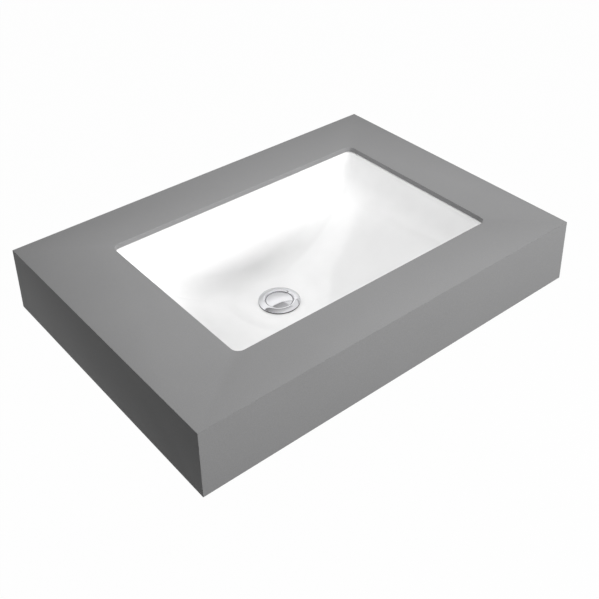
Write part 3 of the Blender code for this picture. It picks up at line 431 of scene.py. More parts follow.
def eased(outline, ease, steps=4):
    """The closed outline with its corners rounded. A point may bring its own radius as a third number."""
    count = len(outline)
    rounded = []
    for i, point in enumerate(outline):
        before, corner, after = (Vector(outline[(i + k) % count][:2]) for k in (-1, 0, 1))
        radius = point[2] if len(point) > 2 else ease
        back, ahead = before - corner, after - corner
        half_angle = back.angle(ahead) / 2
        if radius == 0 or half_angle > NEARLY_STRAIGHT or corner.x == 0:
            rounded.append(corner)
            continue
        run = min(radius / math.tan(half_angle), back.length * SIDE_SHARE, ahead.length * SIDE_SHARE)
        first = corner + back.normalized() * run
        last = corner + ahead.normalized() * run
        for step in range(steps + 1):
            t = step / steps
            rounded.append(first * (1 - t) ** 2 + corner * 2 * t * (1 - t) + last * t**2)
    return [(point.x, point.y) for point in rounded]


# %% [markdown]
# The lathe
#
# A lathe piece is an outline of (radius, height) points spun round Z. Here each step of the turn adds a
# column of points, and neighbouring columns are joined by faces. Since the columns are made one by one, a
# radius may also depend on the angle, which later gives threads and the flats of a nut.

# %% Spinning an outline
FULL_TURN = 2 * math.pi
WELD = 1e-7


def lathe_mesh(name, outline, sides=96):
    """A closed outline of (radius, height) points spun round Z. Either may be a function of the angle."""
    bm = bmesh.new()
    columns = []
    for side in range(sides):
        angle = FULL_TURN * side / sides
        column = []
        for radius, height in outline:
            r = radius(angle) if callable(radius) else radius
            z = height(angle) if callable(height) else height
            column.append(bm.verts.new((r * math.cos(angle), r * math.sin(angle), z)))
        columns.append(column)
    for this, following in zip(columns, columns[1:] + columns[:1]):
        for i in range(len(outline)):
            j = (i + 1) % len(outline)
            bm.faces.new((this[i], following[i], following[j], this[j]))
    bmesh.ops.remove_doubles(bm, verts=bm.verts[:], dist=WELD)
    loose_edges = [edge for edge in bm.edges if not edge.link_faces]
    bmesh.ops.delete(bm, geom=loose_edges, context="EDGES")
    return mesh_of(name, bm)


def mesh_of(name, bm):
    """A mesh from the builder's points and faces, with every face turned outward."""
    bmesh.ops.recalc_face_normals(bm, faces=bm.faces[:])
    mesh = bpy.data.meshes.new(name)
    bm.to_mesh(mesh)
    bm.free()
    return mesh


# %% [markdown]
# Cutting and dressing
#
# Holes are cut as in a workshop: a tool with the hole's shape is placed and taken away from the piece. When a
# shape is done it is dressed: smooth shading with sharp creases, its material, the body it rides on, and the
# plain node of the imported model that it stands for.

# %% Placing, carving and dressing
def settled(obj):
    """The object's mesh with its modifiers applied."""
    graph = bpy.context.evaluated_depsgraph_get()
    mesh = bpy.data.meshes.new_from_object(obj.evaluated_get(graph))
    obj.modifiers.clear()
    obj.data = mesh
    return obj


def loose(name, mesh, place=(0, 0, 0)):
    """A mesh as an object of its own, standing at a place."""
    obj = bpy.data.objects.new(name, mesh)
    bpy.context.scene.collection.objects.link(obj)
    obj.location = place
    return obj


def carve(obj, tools, operation="DIFFERENCE"):
    """Cuts the tools from the object, or joins them to it, and uses them up."""
    for tool in tools:
        modifier = obj.modifiers.new(operation.lower(), "BOOLEAN")
        modifier.operation = operation
        modifier.object = tool
    settled(obj)
    for tool in tools:
        bpy.data.objects.remove(tool, do_unlink=True)
    return obj


def dressed(obj, finish, slot, stands_for=(), body="counter", sharp=32.0):
    """Gives a finished shape its material, its smooth shading and its place in the frame."""
    obj.data.materials.clear()
    obj.data.materials.append(finish)
    obj.data.shade_smooth()
    obj.data.set_sharp_from_angle(angle=math.radians(sharp))
    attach(obj, body)
    if stands_for:
        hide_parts(*stands_for)
    return obj


# %% [markdown]
# The counter
#
# Each panel is cut from one sheet 8 mm thick, and the panels meet in mitres, so that the counter looks like
# a thick slab. After gluing, the fabricator eases every outer edge with fine paper. The panels are made the
# same way here: one block with eased edges is sawn along the mitre planes, and the glue line is all that is
# left between them.

# %% Sizes read from the frame
deck_low, deck_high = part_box("deck_panel")
DECK_TOP = deck_high.z
SHEET_UNDERSIDE = deck_low.z
SHEET = DECK_TOP - SHEET_UNDERSIDE
COUNTER_LOW = Vector((CAD_LOW.x, CAD_LOW.y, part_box("front_apron")[0].z))
COUNTER_HIGH = Vector((CAD_HIGH.x, CAD_HIGH.y, DECK_TOP))
EDGE_EASE = 0.0006
GLUE_LINE = 0.0001
print("Sheet", round(SHEET * 1000, 2), "mm thick, deck at", round(DECK_TOP * 1000, 1), "mm")


# %% A block and a saw
def block(low, high, ease=0.0, steps=3):
    """A block with its long edges eased."""
    bm = bmesh.new()
    middle = Matrix.Translation((Vector(low) + Vector(high)) / 2)
    size = Matrix.Diagonal((*(Vector(high) - Vector(low)), 1.0))
    bmesh.ops.create_cube(bm, size=1.0, matrix=middle @ size)
    if ease:
        bmesh.ops.bevel(bm, geom=bm.edges[:], offset=ease, segments=steps, profile=0.5, affect="EDGES")
    return bm


def saw(bm, place, outward):
    """Cuts off everything beyond a plane and closes the cut."""
    geometry = bm.verts[:] + bm.edges[:] + bm.faces[:]
    cut = bmesh.ops.bisect_plane(
        bm, geom=geometry, plane_co=Vector(place), plane_no=Vector(outward).normalized(), clear_outer=True)
    rim = [item for item in cut["geom_cut"] if isinstance(item, bmesh.types.BMEdge)]
    bmesh.ops.contextual_create(bm, geom=rim)


def panel(name, inner_side, mitres):
    """A panel of the counter: the eased block, sawn along the sheet's inner side and its mitres."""
    bm = block(COUNTER_LOW, COUNTER_HIGH, EDGE_EASE)
    saw(bm, *inner_side)
    for place, outward in mitres:
        normal = Vector(outward).normalized()
        saw(bm, Vector(place) - normal * GLUE_LINE / 2, normal)
    return loose(name, mesh_of(name, bm))


# %% Four panels sawn from one eased block
FRONT_ARRIS = Vector((0, COUNTER_LOW.y, DECK_TOP))
LEFT_ARRIS = Vector((COUNTER_LOW.x, 0, DECK_TOP))
RIGHT_ARRIS = Vector((COUNTER_HIGH.x, 0, DECK_TOP))
LEFT_CORNER = Vector((COUNTER_LOW.x, COUNTER_LOW.y, 0))
RIGHT_CORNER = Vector((COUNTER_HIGH.x, COUNTER_LOW.y, 0))

deck = panel("deck_sheet", ((0, 0, SHEET_UNDERSIDE), (0, 0, -1)), [
    (FRONT_ARRIS, (0, -1, -1)), (LEFT_ARRIS, (-1, 0, -1)), (RIGHT_ARRIS, (1, 0, -1))])
front = panel("front_sheet", ((0, COUNTER_LOW.y + SHEET, 0), (0, 1, 0)), [
    (FRONT_ARRIS, (0, 1, 1)), (LEFT_CORNER, (-1, 1, 0)), (RIGHT_CORNER, (1, 1, 0))])
left = panel("left_sheet", ((COUNTER_LOW.x + SHEET, 0, 0), (1, 0, 0)), [
    (LEFT_ARRIS, (1, 0, 1)), (LEFT_CORNER, (1, -1, 0))])
right = panel("right_sheet", ((COUNTER_HIGH.x - SHEET, 0, 0), (-1, 0, 0)), [
    (RIGHT_ARRIS, (-1, 0, 1)), (RIGHT_CORNER, (-1, -1, 0))])
print("Panels:", [f"{sheet.name} {len(sheet.data.polygons)} faces" for sheet in (deck, front, left, right)])

# %% [markdown]
# The cut-out
#
# The opening, the bowl below it and the bowl's flange share one middle. The basin's own box can't give that
# middle, because the overflow's ridge sticks out on one side only. The silicone bead can: it runs round the
# opening in an even band, so the opening is the bead's box less the band.

# %% Where the opening stands
FLANGE_WIDTH = 0.022
BEAD_INSET = 0.0006
BEAD_WIDTH = 0.013

RIM_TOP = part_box("basin")[1].z
sealant_low, sealant_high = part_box("rim_sealant")
bead_reach = BEAD_INSET + BEAD_WIDTH
BOWL_MIDDLE = (sealant_low + sealant_high) / 2
CUTOUT_HALF = ((sealant_high - sealant_low) / 2).xy - Vector((bead_reach, bead_reach))
FLANGE_HALF = CUTOUT_HALF + Vector((FLANGE_WIDTH, FLANGE_WIDTH))
print("Cut-out of", [round(side * 2000, 1) for side in CUTOUT_HALF], "mm")

# %% [markdown]
# The fabricator mills the opening through the deck with a cutter that leaves 12 mm corners, and eases its top
# edge like the outer ones. The cutting tool here is a stack of outlines: straight through the sheet, and
# flared where it leaves the top face.

# %% Rounded rectangles, and a stack of them
CUTOUT_CORNER = 0.012
CORNER_STEPS = 16


def rounded_rectangle(half_x, half_y, radius, steps=CORNER_STEPS):
    """Points round a rectangle with round corners, centred on zero."""
    points = []
    for side_x, side_y, start in ((1, 1, 0), (-1, 1, 90), (-1, -1, 180), (1, -1, 270)):
        for step in range(steps + 1):
            angle = math.radians(start + 90 * step / steps)
            x = side_x * (half_x - radius) + radius * math.cos(angle)
            y = side_y * (half_y - radius) + radius * math.sin(angle)
            points.append((x, y))
    return points


def stack(name, levels, half, corner, middle):
    """A solid of rounded rectangles, one for each level as (height, how much wider)."""
    bm = bmesh.new()
    loops = []
    for height, grow in levels:
        outline = rounded_rectangle(half.x + grow, half.y + grow, corner + grow)
        loops.append([bm.verts.new((middle.x + x, middle.y + y, height)) for x, y in outline])
    for lower, upper in zip(loops, loops[1:]):
        for i, _ in enumerate(lower):
            j = (i + 1) % len(lower)
            bm.faces.new((lower[i], lower[j], upper[j], upper[i]))
    bm.faces.new(loops[0][::-1])
    bm.faces.new(loops[-1])
    return loose(name, mesh_of(name, bm))


# %% Mill the opening
FLARE_STEPS = 5

flare = [(SHEET_UNDERSIDE - SHEET, 0.0)]
for step in range(FLARE_STEPS + 1):
    angle = math.radians(90 * step / FLARE_STEPS)
    flare.append((DECK_TOP - EDGE_EASE * (1 - math.sin(angle)), EDGE_EASE * (1 - math.cos(angle))))
flare.append((DECK_TOP + SHEET, EDGE_EASE))
carve(deck, [stack("milling", flare, CUTOUT_HALF, CUTOUT_CORNER, BOWL_MIDDLE)])

panels = ((deck, "deck_panel"), (front, "front_apron"), (left, "left_apron"), (right, "right_apron"))
for sheet, plain in panels:
    dressed(sheet, sheet_finish, "sheet", [plain])
print("Deck with its opening:", len(deck.data.polygons), "faces")

# %% [markdown]
# The basin
#
# The bowl has four leaning walls and a floor that is an arc from end to end. Where two surfaces meet, the
# clay is smoothed into a soft valley. One formula gives the level of that surface at any place. The whole
# shell is then a loft: sections are cut along rays that leave the drain, each a closed line that runs up
# the inside, over the rim and back below, and neighbouring sections are joined. The rays stand closer than
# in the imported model's plain basin, so the gloss runs over the curves without facets.

# %% Where the drain stands
WASTE_RIM_HEIGHT = 0.0044

waste_low, waste_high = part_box("waste_body")
DRAIN = Vector(((waste_low.x + waste_high.x) / 2, (waste_low.y + waste_high.y) / 2, 0))
DRAIN.z = waste_high.z - WASTE_RIM_HEIGHT
DRAIN_OFFSET = DRAIN.y - BOWL_MIDDLE.y
print("Drain's seat at", [round(value * 1000, 1) for value in DRAIN], "mm")

# %% [markdown]
# From end to end
#
# Seen from the front, the bowl is one line: an arc at the bottom, a straight ramp, a wide bend, and the end
# wall up to the rim. Besides the height, the line's lean is needed later: the cosine of its slope, which
# turns a height difference into a distance square to the surface. The outside is the same line, grown by
# the wall.

# %% The line from end to end
FLOOR_RADIUS = 0.245
RAMP_ANGLE = math.radians(35.5)
END_BEND_RADIUS = 0.070
END_WALL_DRAFT = math.radians(18.0)
BOWL_HALF = CUTOUT_HALF


def end_to_end(x, grow):
    """Height and lean of the form that runs from end to end: arched floor, ramp, wide bend and end wall."""
    x = abs(x)
    floor_radius = FLOOR_RADIUS + grow
    bend_radius = END_BEND_RADIUS + grow
    half_width = BOWL_HALF.x + grow / math.cos(END_WALL_DRAFT)
    wall_slope = 1 / math.tan(END_WALL_DRAFT)
    ramp_slope = math.tan(RAMP_ANGLE)
    ramp_x = floor_radius * math.sin(RAMP_ANGLE)
    ramp_z = DRAIN.z - grow + floor_radius * (1 - math.cos(RAMP_ANGLE))
    wall_foot = RIM_TOP - half_width * wall_slope
    meet_x = (ramp_z - ramp_x * ramp_slope - wall_foot) / (wall_slope - ramp_slope)
    meet_z = wall_foot + meet_x * wall_slope
    run = bend_radius * math.tan((math.pi / 2 - END_WALL_DRAFT - RAMP_ANGLE) / 2)
    bend_start = meet_x - run * math.cos(RAMP_ANGLE)
    bend_end = meet_x + run * math.sin(END_WALL_DRAFT)
    if x < ramp_x:
        lean = math.sqrt(floor_radius**2 - x**2) / floor_radius
        return DRAIN.z - grow + floor_radius * (1 - lean), lean
    if x < bend_start:
        return ramp_z + (x - ramp_x) * ramp_slope, math.cos(RAMP_ANGLE)
    if x < bend_end:
        middle_x = bend_start - bend_radius * math.sin(RAMP_ANGLE)
        middle_z = meet_z - run * math.sin(RAMP_ANGLE) + bend_radius * math.cos(RAMP_ANGLE)
        rise = math.sqrt(bend_radius**2 - (x - middle_x) ** 2)
        return middle_z - rise, rise / bend_radius
    return wall_foot + x * wall_slope, math.sin(END_WALL_DRAFT)


print("Floor's arc", round(2000 * FLOOR_RADIUS * math.sin(RAMP_ANGLE)), "mm wide between the ramps")

# %% [markdown]
# Soft inside corners
#
# A potter would round the corner between two walls with a sponge. Here a ball rolls along the corner, and its
# radius is small at the rim and large at the floor. The height of the ball's surface solves one small
# equation, which Newton's method does in a few steps from the higher of the two surfaces.

# %% A ball rolled along the corners
ROLL_STEPS = 6


def rolled(surfaces, ball):
    """The level over several surfaces, each a (level, lean), after a ball has rounded their inside corner."""
    height = max(level for level, _ in surfaces)
    for _ in range(ROLL_STEPS):
        total, slope = -1.0, 0.0
        for level, lean in surfaces:
            near = 1 - (height - level) * lean / ball
            if near > 0:
                total += near**2
                slope += 2 * near * lean / ball
        height += total / slope
    return height


# %% [markdown]
# The level of the bowl
#
# The line from end to end and the two long walls meet in rolled corners. The floor also falls a little to the
# drain from the front and the back, and a smooth step flattens it into the seat round the hole.

# %% The level at any place
LONG_WALL_DRAFT = math.radians(7.6)
BALL_RADIUS_AT_RIM = 0.011
BALL_RADIUS_AT_FLOOR = 0.026
FLOOR_FALL_BACK = 0.003
FLOOR_FALL_FRONT = 0.010
SEAT_RADIUS = 0.036
SEAT_BLEND = 0.050


def soft_step(value):
    """A smooth step: 0 up to 0, 1 from 1 on, level at both ends."""
    value = min(max(value, 0), 1)
    return value * value * (3 - 2 * value)


def bowl_level(x, y, grow=0.0):
    """Height of the bowl at a place measured from its middle. The outside is the same form, grown."""
    across, lean = end_to_end(x, grow)
    below_rim = max(RIM_TOP - across, 0) / (RIM_TOP - DRAIN.z)
    off_drain = y - DRAIN_OFFSET
    if off_drain > 0:
        fall = FLOOR_FALL_BACK * (off_drain / (BOWL_HALF.y - DRAIN_OFFSET)) ** 2
    else:
        fall = FLOOR_FALL_FRONT * (off_drain / (BOWL_HALF.y + DRAIN_OFFSET)) ** 2
    half_depth = BOWL_HALF.y + grow / math.cos(LONG_WALL_DRAFT)
    long_wall = RIM_TOP - (half_depth - abs(y)) / math.tan(LONG_WALL_DRAFT)
    ball = BALL_RADIUS_AT_RIM + (BALL_RADIUS_AT_FLOOR - BALL_RADIUS_AT_RIM) * below_rim + grow
    level = rolled([(across + fall * below_rim, lean), (long_wall, math.sin(LONG_WALL_DRAFT))], ball)
    share = soft_step((math.hypot(x, off_drain) - SEAT_RADIUS) / SEAT_BLEND)
    return (DRAIN.z - grow) * (1 - share) + level * share


print("Bowl's depth at its middle:", round((DECK_TOP - bowl_level(0, 0)) * 1000, 1), "mm below the deck")

# %% [markdown]
# Under the bowl
#
# The drain stands in a thick boss, and the overflow runs down a cast channel that shows outside as a soft
# ridge along the front wall and the floor. Both belong to the same formula: near the ridge, the outer surface
# steps down by the channel's height.

# %% The shell's outer form
BOWL_WALL = 0.010
DUCT_HEIGHT = 0.011
DUCT_SKIN = 0.006
RIDGE_HALF = 0.021
RIDGE_SOFTNESS = 0.006


def shell_level(x, y):
    """Height of the basin's outer surface, with the ridge over the overflow channel."""
    plain = bowl_level(x, y, BOWL_WALL)
    ahead = soft_step((DRAIN_OFFSET - y) / SEAT_RADIUS)
    beside = soft_step((RIDGE_HALF + RIDGE_SOFTNESS - abs(x)) / (2 * RIDGE_SOFTNESS))
    if ahead * beside == 0:
        return plain
    ridge = bowl_level(x, y, BOWL_WALL + DUCT_HEIGHT + DUCT_SKIN)
    return plain + (ridge - plain) * ahead * beside


print("Ridge stands", round((DUCT_HEIGHT + DUCT_SKIN) * 1000), "mm off the shell")

# %% [markdown]
# Points along a ray
#
# Walking along a ray from the drain, the form is sampled finely. Then a few points are picked so that each
# spans the same length plus the same turn: they crowd where the form bends and thin out where it runs
# straight, which keeps the mesh light and its curves round.

# %% How far a ray goes
SEARCH_STEP = 1e-6


def reach(direction, inside):
    """How far a ray from the drain goes before it leaves a form, found by halving."""
    near, far = 0.0, CAD_HIGH.x - CAD_LOW.x
    while far - near > SEARCH_STEP:
        middle = (near + far) / 2
        place = (direction[0] * middle, DRAIN_OFFSET + direction[1] * middle)
        near, far = (middle, far) if inside(*place) else (near, middle)
    return near


# %% Points that crowd where the form turns
PROFILE_SAMPLES = 260
TURN_LENGTH = 0.060


def section_of(direction, level, start, top, rings):
    """Points (distance, height) along a ray, from a distance up to a level, closer where the form turns."""
    end = reach(direction, lambda x, y: level(x, y) < top)
    samples = []
    for i in range(PROFILE_SAMPLES + 1):
        distance = start + (end - start) * i / PROFILE_SAMPLES
        samples.append((distance, level(direction[0] * distance, DRAIN_OFFSET + direction[1] * distance)))
    cost, heading = [0.0], None
    for (r0, z0), (r1, z1) in zip(samples, samples[1:]):
        angle = math.atan2(z1 - z0, r1 - r0)
        bend = abs(angle - heading) if heading is not None else 0.0
        cost.append(cost[-1] + math.hypot(r1 - r0, z1 - z0) + TURN_LENGTH * bend)
        heading = angle
    picked, k = [], 0
    for ring in range(rings + 1):
        wanted = cost[-1] * ring / rings
        while k < PROFILE_SAMPLES - 1 and cost[k + 1] < wanted:
            k += 1
        part = min(max((wanted - cost[k]) / (cost[k + 1] - cost[k]), 0), 1)
        (r0, z0), (r1, z1) = samples[k], samples[k + 1]
        picked.append((r0 + (r1 - r0) * part, z0 + (z1 - z0) * part))
    return picked


# %% Rays to the rim, and the flange's outline
RIM_SPACING = 0.0075


def ray_directions():
    """Unit directions from the drain to points spaced along the bowl's rim."""
    outline = rounded_rectangle(BOWL_HALF.x, BOWL_HALF.y, CUTOUT_CORNER, 8)
    directions = []
    for (x0, y0), (x1, y1) in zip(outline, outline[1:] + outline[:1]):
        pieces = max(1, round(math.hypot(x1 - x0, y1 - y0) / RIM_SPACING))
        for i in range(pieces):
            across = Vector((x0 + (x1 - x0) * i / pieces, y0 + (y1 - y0) * i / pieces - DRAIN_OFFSET))
            directions.append(tuple(across.normalized()))
    return directions


def in_flange(x, y):
    """Whether a place lies inside the flange's rounded outline."""
    corner = CUTOUT_CORNER + FLANGE_WIDTH
    out_x = max(abs(x) - FLANGE_HALF.x + corner, 0)
    out_y = max(abs(y) - FLANGE_HALF.y + corner, 0)
    return math.hypot(out_x, out_y) < corner


print("Rays:", len(ray_directions()))

# %% [markdown]
# The drain's own section is the same in every direction: the cone that seats the waste, the bore, the gallery
# that takes the overflow's water, and the boss below with its soft foot.

# %% The drain's section
DRAIN_CONE_RADIUS = 0.030
DRAIN_BORE_RADIUS = 0.023
BOSS_TOP_RADIUS = 0.046
BOSS_FOOT_RADIUS = 0.042
BOSS_HEIGHT = 0.038
BOSS_FILLET = 0.007
GALLERY_RADIUS = 0.032
GALLERY_TOP = 0.014
GALLERY_HEIGHT = 0.014
SOFT_EDGE = 0.0015

drain_outline = [
    (SEAT_RADIUS, 0, 0),
    (DRAIN_CONE_RADIUS, 0, SOFT_EDGE),
    (DRAIN_BORE_RADIUS, DRAIN_BORE_RADIUS - DRAIN_CONE_RADIUS, SOFT_EDGE),
    (DRAIN_BORE_RADIUS, -GALLERY_TOP, SOFT_EDGE),
    (GALLERY_RADIUS, -GALLERY_TOP, SOFT_EDGE),
    (GALLERY_RADIUS, -GALLERY_TOP - GALLERY_HEIGHT, SOFT_EDGE),
    (DRAIN_BORE_RADIUS, -GALLERY_TOP - GALLERY_HEIGHT, SOFT_EDGE),
    (DRAIN_BORE_RADIUS, -BOSS_HEIGHT, SOFT_EDGE),
    (BOSS_FOOT_RADIUS, -BOSS_HEIGHT, 2 * SOFT_EDGE),
    (BOSS_TOP_RADIUS, -BOWL_WALL, 0),
]
drain_section = [(r, DRAIN.z + z) for r, z in eased(drain_outline, SOFT_EDGE)][:-1]
print("Drain's section:", len(drain_section), "points")

# %% [markdown]
# One whole section
#
# Joined end to end, the inside, the lip at the rim, the flange, the outside and the fillet above the boss
# make one closed line for each ray. Only the inside, the outside and the flange's width change from ray to
# ray.

# %% One closed section
FLANGE_THICKNESS = 0.015
FLANGE_UNDERSIDE = RIM_TOP - FLANGE_THICKNESS
LIP_RADIUS = 0.002
LIP_STEPS = 5
FILLET_STEPS = 5
INNER_RINGS = 52
OUTER_RINGS = 30


def basin_section(direction):
    """One closed section of the basin along a ray: outside, drain, inside, lip and flange."""
    inside = section_of(direction, bowl_level, SEAT_RADIUS, RIM_TOP - LIP_RADIUS, INNER_RINGS)
    edge = inside[-1][0]
    lip = []
    for step in range(1, LIP_STEPS + 1):
        angle = math.radians(90 * step / LIP_STEPS)
        lip.append((edge + LIP_RADIUS * (1 - math.cos(angle)), RIM_TOP - LIP_RADIUS * (1 - math.sin(angle))))
    rim = reach(direction, in_flange)
    corner = [(edge, RIM_TOP, 0), (rim, RIM_TOP), (rim, FLANGE_UNDERSIDE), (edge, FLANGE_UNDERSIDE, 0)]
    flange = eased(corner, SOFT_EDGE)[1:-1]
    start = BOSS_TOP_RADIUS + BOSS_FILLET
    outside = section_of(direction, shell_level, start, FLANGE_UNDERSIDE, OUTER_RINGS)
    side = BOSS_TOP_RADIUS - BOSS_FILLET * (BOSS_TOP_RADIUS - BOSS_FOOT_RADIUS) / BOSS_HEIGHT
    crease = (BOSS_TOP_RADIUS, outside[0][1])
    foot = (side, outside[0][1] - BOSS_FILLET)
    fillet = []
    for step in range(FILLET_STEPS):
        t = step / FILLET_STEPS
        r = foot[0] * (1 - t) ** 2 + crease[0] * 2 * t * (1 - t) + start * t**2
        z = foot[1] * (1 - t) ** 2 + crease[1] * 2 * t * (1 - t) + outside[0][1] * t**2
        fillet.append((r, z))
    return inside[1:] + lip + flange + outside[::-1] + fillet[::-1]


# %% Loft the shell
def basin_mesh():
    """The drain's and the basin's sections on every ray, joined into one closed shell."""
    bm = bmesh.new()
    columns = []
    for direction in ray_directions():
        column = []
        for distance, height in drain_section[::-1] + basin_section(direction):
            place = (direction[0] * distance, DRAIN_OFFSET + direction[1] * distance, height)
            column.append(bm.verts.new(place))
        columns.append(column)
    count = len(columns[0])
    for this, following in zip(columns, columns[1:] + columns[:1]):
        for i in range(count):
            j = (i + 1) % count
            bm.faces.new((this[i], following[i], following[j], this[j]))
    print("Basin loft:", len(columns), "rays of", count, "points")
    return mesh_of("basin_shell", bm)


basin = loose("basin_shell", basin_mesh(), (BOWL_MIDDLE.x, BOWL_MIDDLE.y, 0))

# %% [markdown]
# The overflow
#
# A round hole near the top of the front wall lets water out before it reaches the rim. Behind it, a cast
# channel follows the wall and the floor down to the drain's gallery. The cutting tools are a bar with the
# channel's side view, and a turned plug whose rim flares like the glaze at the hole's edge.

# %% A bar from its side view
FOLD = math.radians(60)


def bar_mesh(name, outline, half_width, ease=0.0):
    """A side view of (Y, Z) points, given a width along X."""
    bm = bmesh.new()
    ends = [[bm.verts.new((side * half_width, y, z)) for y, z in outline] for side in (-1, 1)]
    for i in range(len(outline)):
        j = (i + 1) % len(outline)
        bm.faces.new((ends[0][i], ends[0][j], ends[1][j], ends[1][i]))
    bm.faces.new(ends[0][::-1])
    bm.faces.new(ends[1])
    if ease:
        rims = [edge for edge in bm.edges if edge.calc_face_angle() > FOLD]
        bmesh.ops.bevel(bm, geom=rims, offset=ease, segments=3, profile=0.5, affect="EDGES")
    return mesh_of(name, bm)


# %% The channel's tool
DUCT_WIDTH = 0.030
DUCT_CEILING = 0.008
DUCT_NEAR = (GALLERY_RADIUS + DRAIN_BORE_RADIUS) / 2
OVERFLOW_RADIUS = 0.011
OVERFLOW_DEPTH = 0.050
CHANNEL_RINGS = 40

hole_level = DECK_TOP - OVERFLOW_DEPTH
forward = (0.0, -1.0)


def channel_side(grow):
    """One side of the channel: the bowl's form, grown, from near the drain up to the hole's top."""
    top = hole_level + OVERFLOW_RADIUS

    def level(x, y):
        return bowl_level(x, y, grow)

    side = section_of(forward, level, DUCT_NEAR, top, CHANNEL_RINGS)
    return [(DRAIN.y - distance, z) for distance, z in side]


channel = channel_side(BOWL_WALL + DUCT_HEIGHT) + channel_side(DUCT_CEILING)[::-1]
duct = loose("duct", bar_mesh("duct", channel, DUCT_WIDTH / 2), (DRAIN.x, 0, 0))
print("Channel's tool:", len(duct.data.polygons), "faces")

# %% The hole's tool, and both cuts
OVERFLOW_FLARE = 0.0025
GLAZE_STEPS = 6

plug = [(0, OVERFLOW_RADIUS), (OVERFLOW_RADIUS + OVERFLOW_FLARE, OVERFLOW_RADIUS)]
for step in range(GLAZE_STEPS + 1):
    angle = math.radians(90 * step / GLAZE_STEPS)
    across = OVERFLOW_RADIUS + OVERFLOW_FLARE * (1 - math.sin(angle))
    plug.append((across, -OVERFLOW_FLARE * (1 - math.cos(angle))))
plug += [(OVERFLOW_RADIUS, -BOWL_WALL - DUCT_HEIGHT / 2), (0, -BOWL_WALL - DUCT_HEIGHT / 2)]
wall_y = DRAIN.y - reach(forward, lambda x, y: bowl_level(x, y) < hole_level)
hole = loose("hole", lathe_mesh("hole", plug, 64), (DRAIN.x, wall_y, hole_level))
hole.rotation_euler.x = math.radians(-90) + LONG_WALL_DRAFT
carve(basin, [duct, hole])
print("Overflow hole at", [round(value * 1000, 1) for value in (DRAIN.x, wall_y, hole_level)], "mm")

# %% [markdown]
# Where the glaze is wiped off
#
# The rim's top is ground flat to fit the sheet, and the boss's foot to seat a seal. Grinding takes the glaze
# off, so these faces show the bare fired body. They are found by their height and the way they face.

# %% Ground faces
LEVEL_ENOUGH = 0.99


def ground(face):
    """Whether a face lies in one of the two planes that are ground after firing."""
    on_rim = abs(face.center.z - RIM_TOP) < SEARCH_STEP and face.normal.z > LEVEL_ENOUGH
    on_foot = abs(face.center.z - DRAIN.z + BOSS_HEIGHT) < SEARCH_STEP and face.normal.z < -LEVEL_ENOUGH
    return on_rim or on_foot


dressed(basin, glaze, "ceramic", ["basin"], sharp=50.0)
basin.data.materials.append(biscuit)
for face in basin.data.polygons:
    face.material_index = 1 if ground(face) else 0
ground_faces = sum(face.material_index for face in basin.data.polygons)
print("Ground faces:", ground_faces, "of", len(basin.data.polygons))

# %% [markdown]
# The bead of silicone
#
# White silicone glues the basin's rim to the sheet and keeps water out. Where it shows, at the foot of the
# cut-out, the fitter has wiped it hollow. Outside, where nobody wipes, it swells a little.

# %% A ring round the opening
def ring_mesh(name, loops):
    """A ring with a closed section: one rounded rectangle for each (how much wider, height)."""
    bm = bmesh.new()
    rows = []
    for grow, height in loops:
        outline = rounded_rectangle(CUTOUT_HALF.x + grow, CUTOUT_HALF.y + grow, CUTOUT_CORNER + grow)
        rows.append([bm.verts.new((x, y, height)) for x, y in outline])
    for row, following in zip(rows, rows[1:] + rows[:1]):
        for i in range(len(row)):
            j = (i + 1) % len(row)
            bm.faces.new((row[i], row[j], following[j], following[i]))
    return mesh_of(name, bm)


# %% Silicone bead
BEAD_GAP = 0.0003
BEAD_HOLLOW = 0.0004
BEAD_SWELL = 0.0007
BEAD_STEPS = 5

bead_foot, bead_top = RIM_TOP + BEAD_GAP, SHEET_UNDERSIDE - BEAD_GAP
bead = []
for step in range(BEAD_STEPS + 1):
    t = step / BEAD_STEPS
    bead.append((BEAD_INSET + BEAD_HOLLOW * (4 * t * (1 - t) - 1), bead_foot + (bead_top - bead_foot) * t))
for step in range(BEAD_STEPS + 1):
    t = step / BEAD_STEPS
    swell = BEAD_SWELL * 4 * t * (1 - t)
    bead.append((BEAD_INSET + BEAD_WIDTH + swell, bead_top + (bead_foot - bead_top) * t))
sealant = loose("silicone_bead", ring_mesh("silicone_bead", bead), (BOWL_MIDDLE.x, BOWL_MIDDLE.y, 0))
dressed(sealant, silicone, "silicone", ["rim_sealant"])
print("Bead", round((bead_top - bead_foot) * 1000, 2), "mm high")

# %% [markdown]
# The plywood frame
#
# Four battens under the deck, a rail along the wall and a glue block in each corner carry the counter. Each
# is a board with sanded edges. A board is built lying flat, with its length along X and its thickness along
# Z, so that the plywood's veneers run the right way, and is then turned into its place.

# %% A drill and a board
SANDED = 0.0009
AXES = {"X": Vector((1, 0, 0)), "Y": Vector((0, 1, 0)), "Z": Vector((0, 0, 1))}


def drill(name, place, direction, radius, depth, sink=0.0):
    """A drill that stands on a point and cuts along a direction, with an optional countersink."""
    outline = [(0, radius), (radius + sink, radius), (radius + sink, 0)]
    outline += [(radius, -sink), (radius, -depth), (0, -depth)]
    tool = loose(name, lathe_mesh(name, outline, 32), place)
    tool.rotation_euler = (-Vector(direction)).to_track_quat("Z", "Y").to_euler()
    return tool


def board(stands_for, length, thickness, drills=()):
    """A board that fills its node's box, drilled."""
    low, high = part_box(stands_for)
    along, up = AXES[length], AXES[thickness]
    turn = Matrix((along, up.cross(along), up)).transposed()
    size = turn.transposed() @ (high - low)
    half = Vector([abs(side) / 2 for side in size])
    piece = loose(stands_for + "_board", mesh_of("board", block(-half, half, SANDED)))
    piece.matrix_world = Matrix.Translation((low + high) / 2) @ turn.to_4x4()
    bpy.context.view_layer.update()
    if drills:
        carve(piece, drills)
    return dressed(piece, plywood, "plywood", [stands_for])


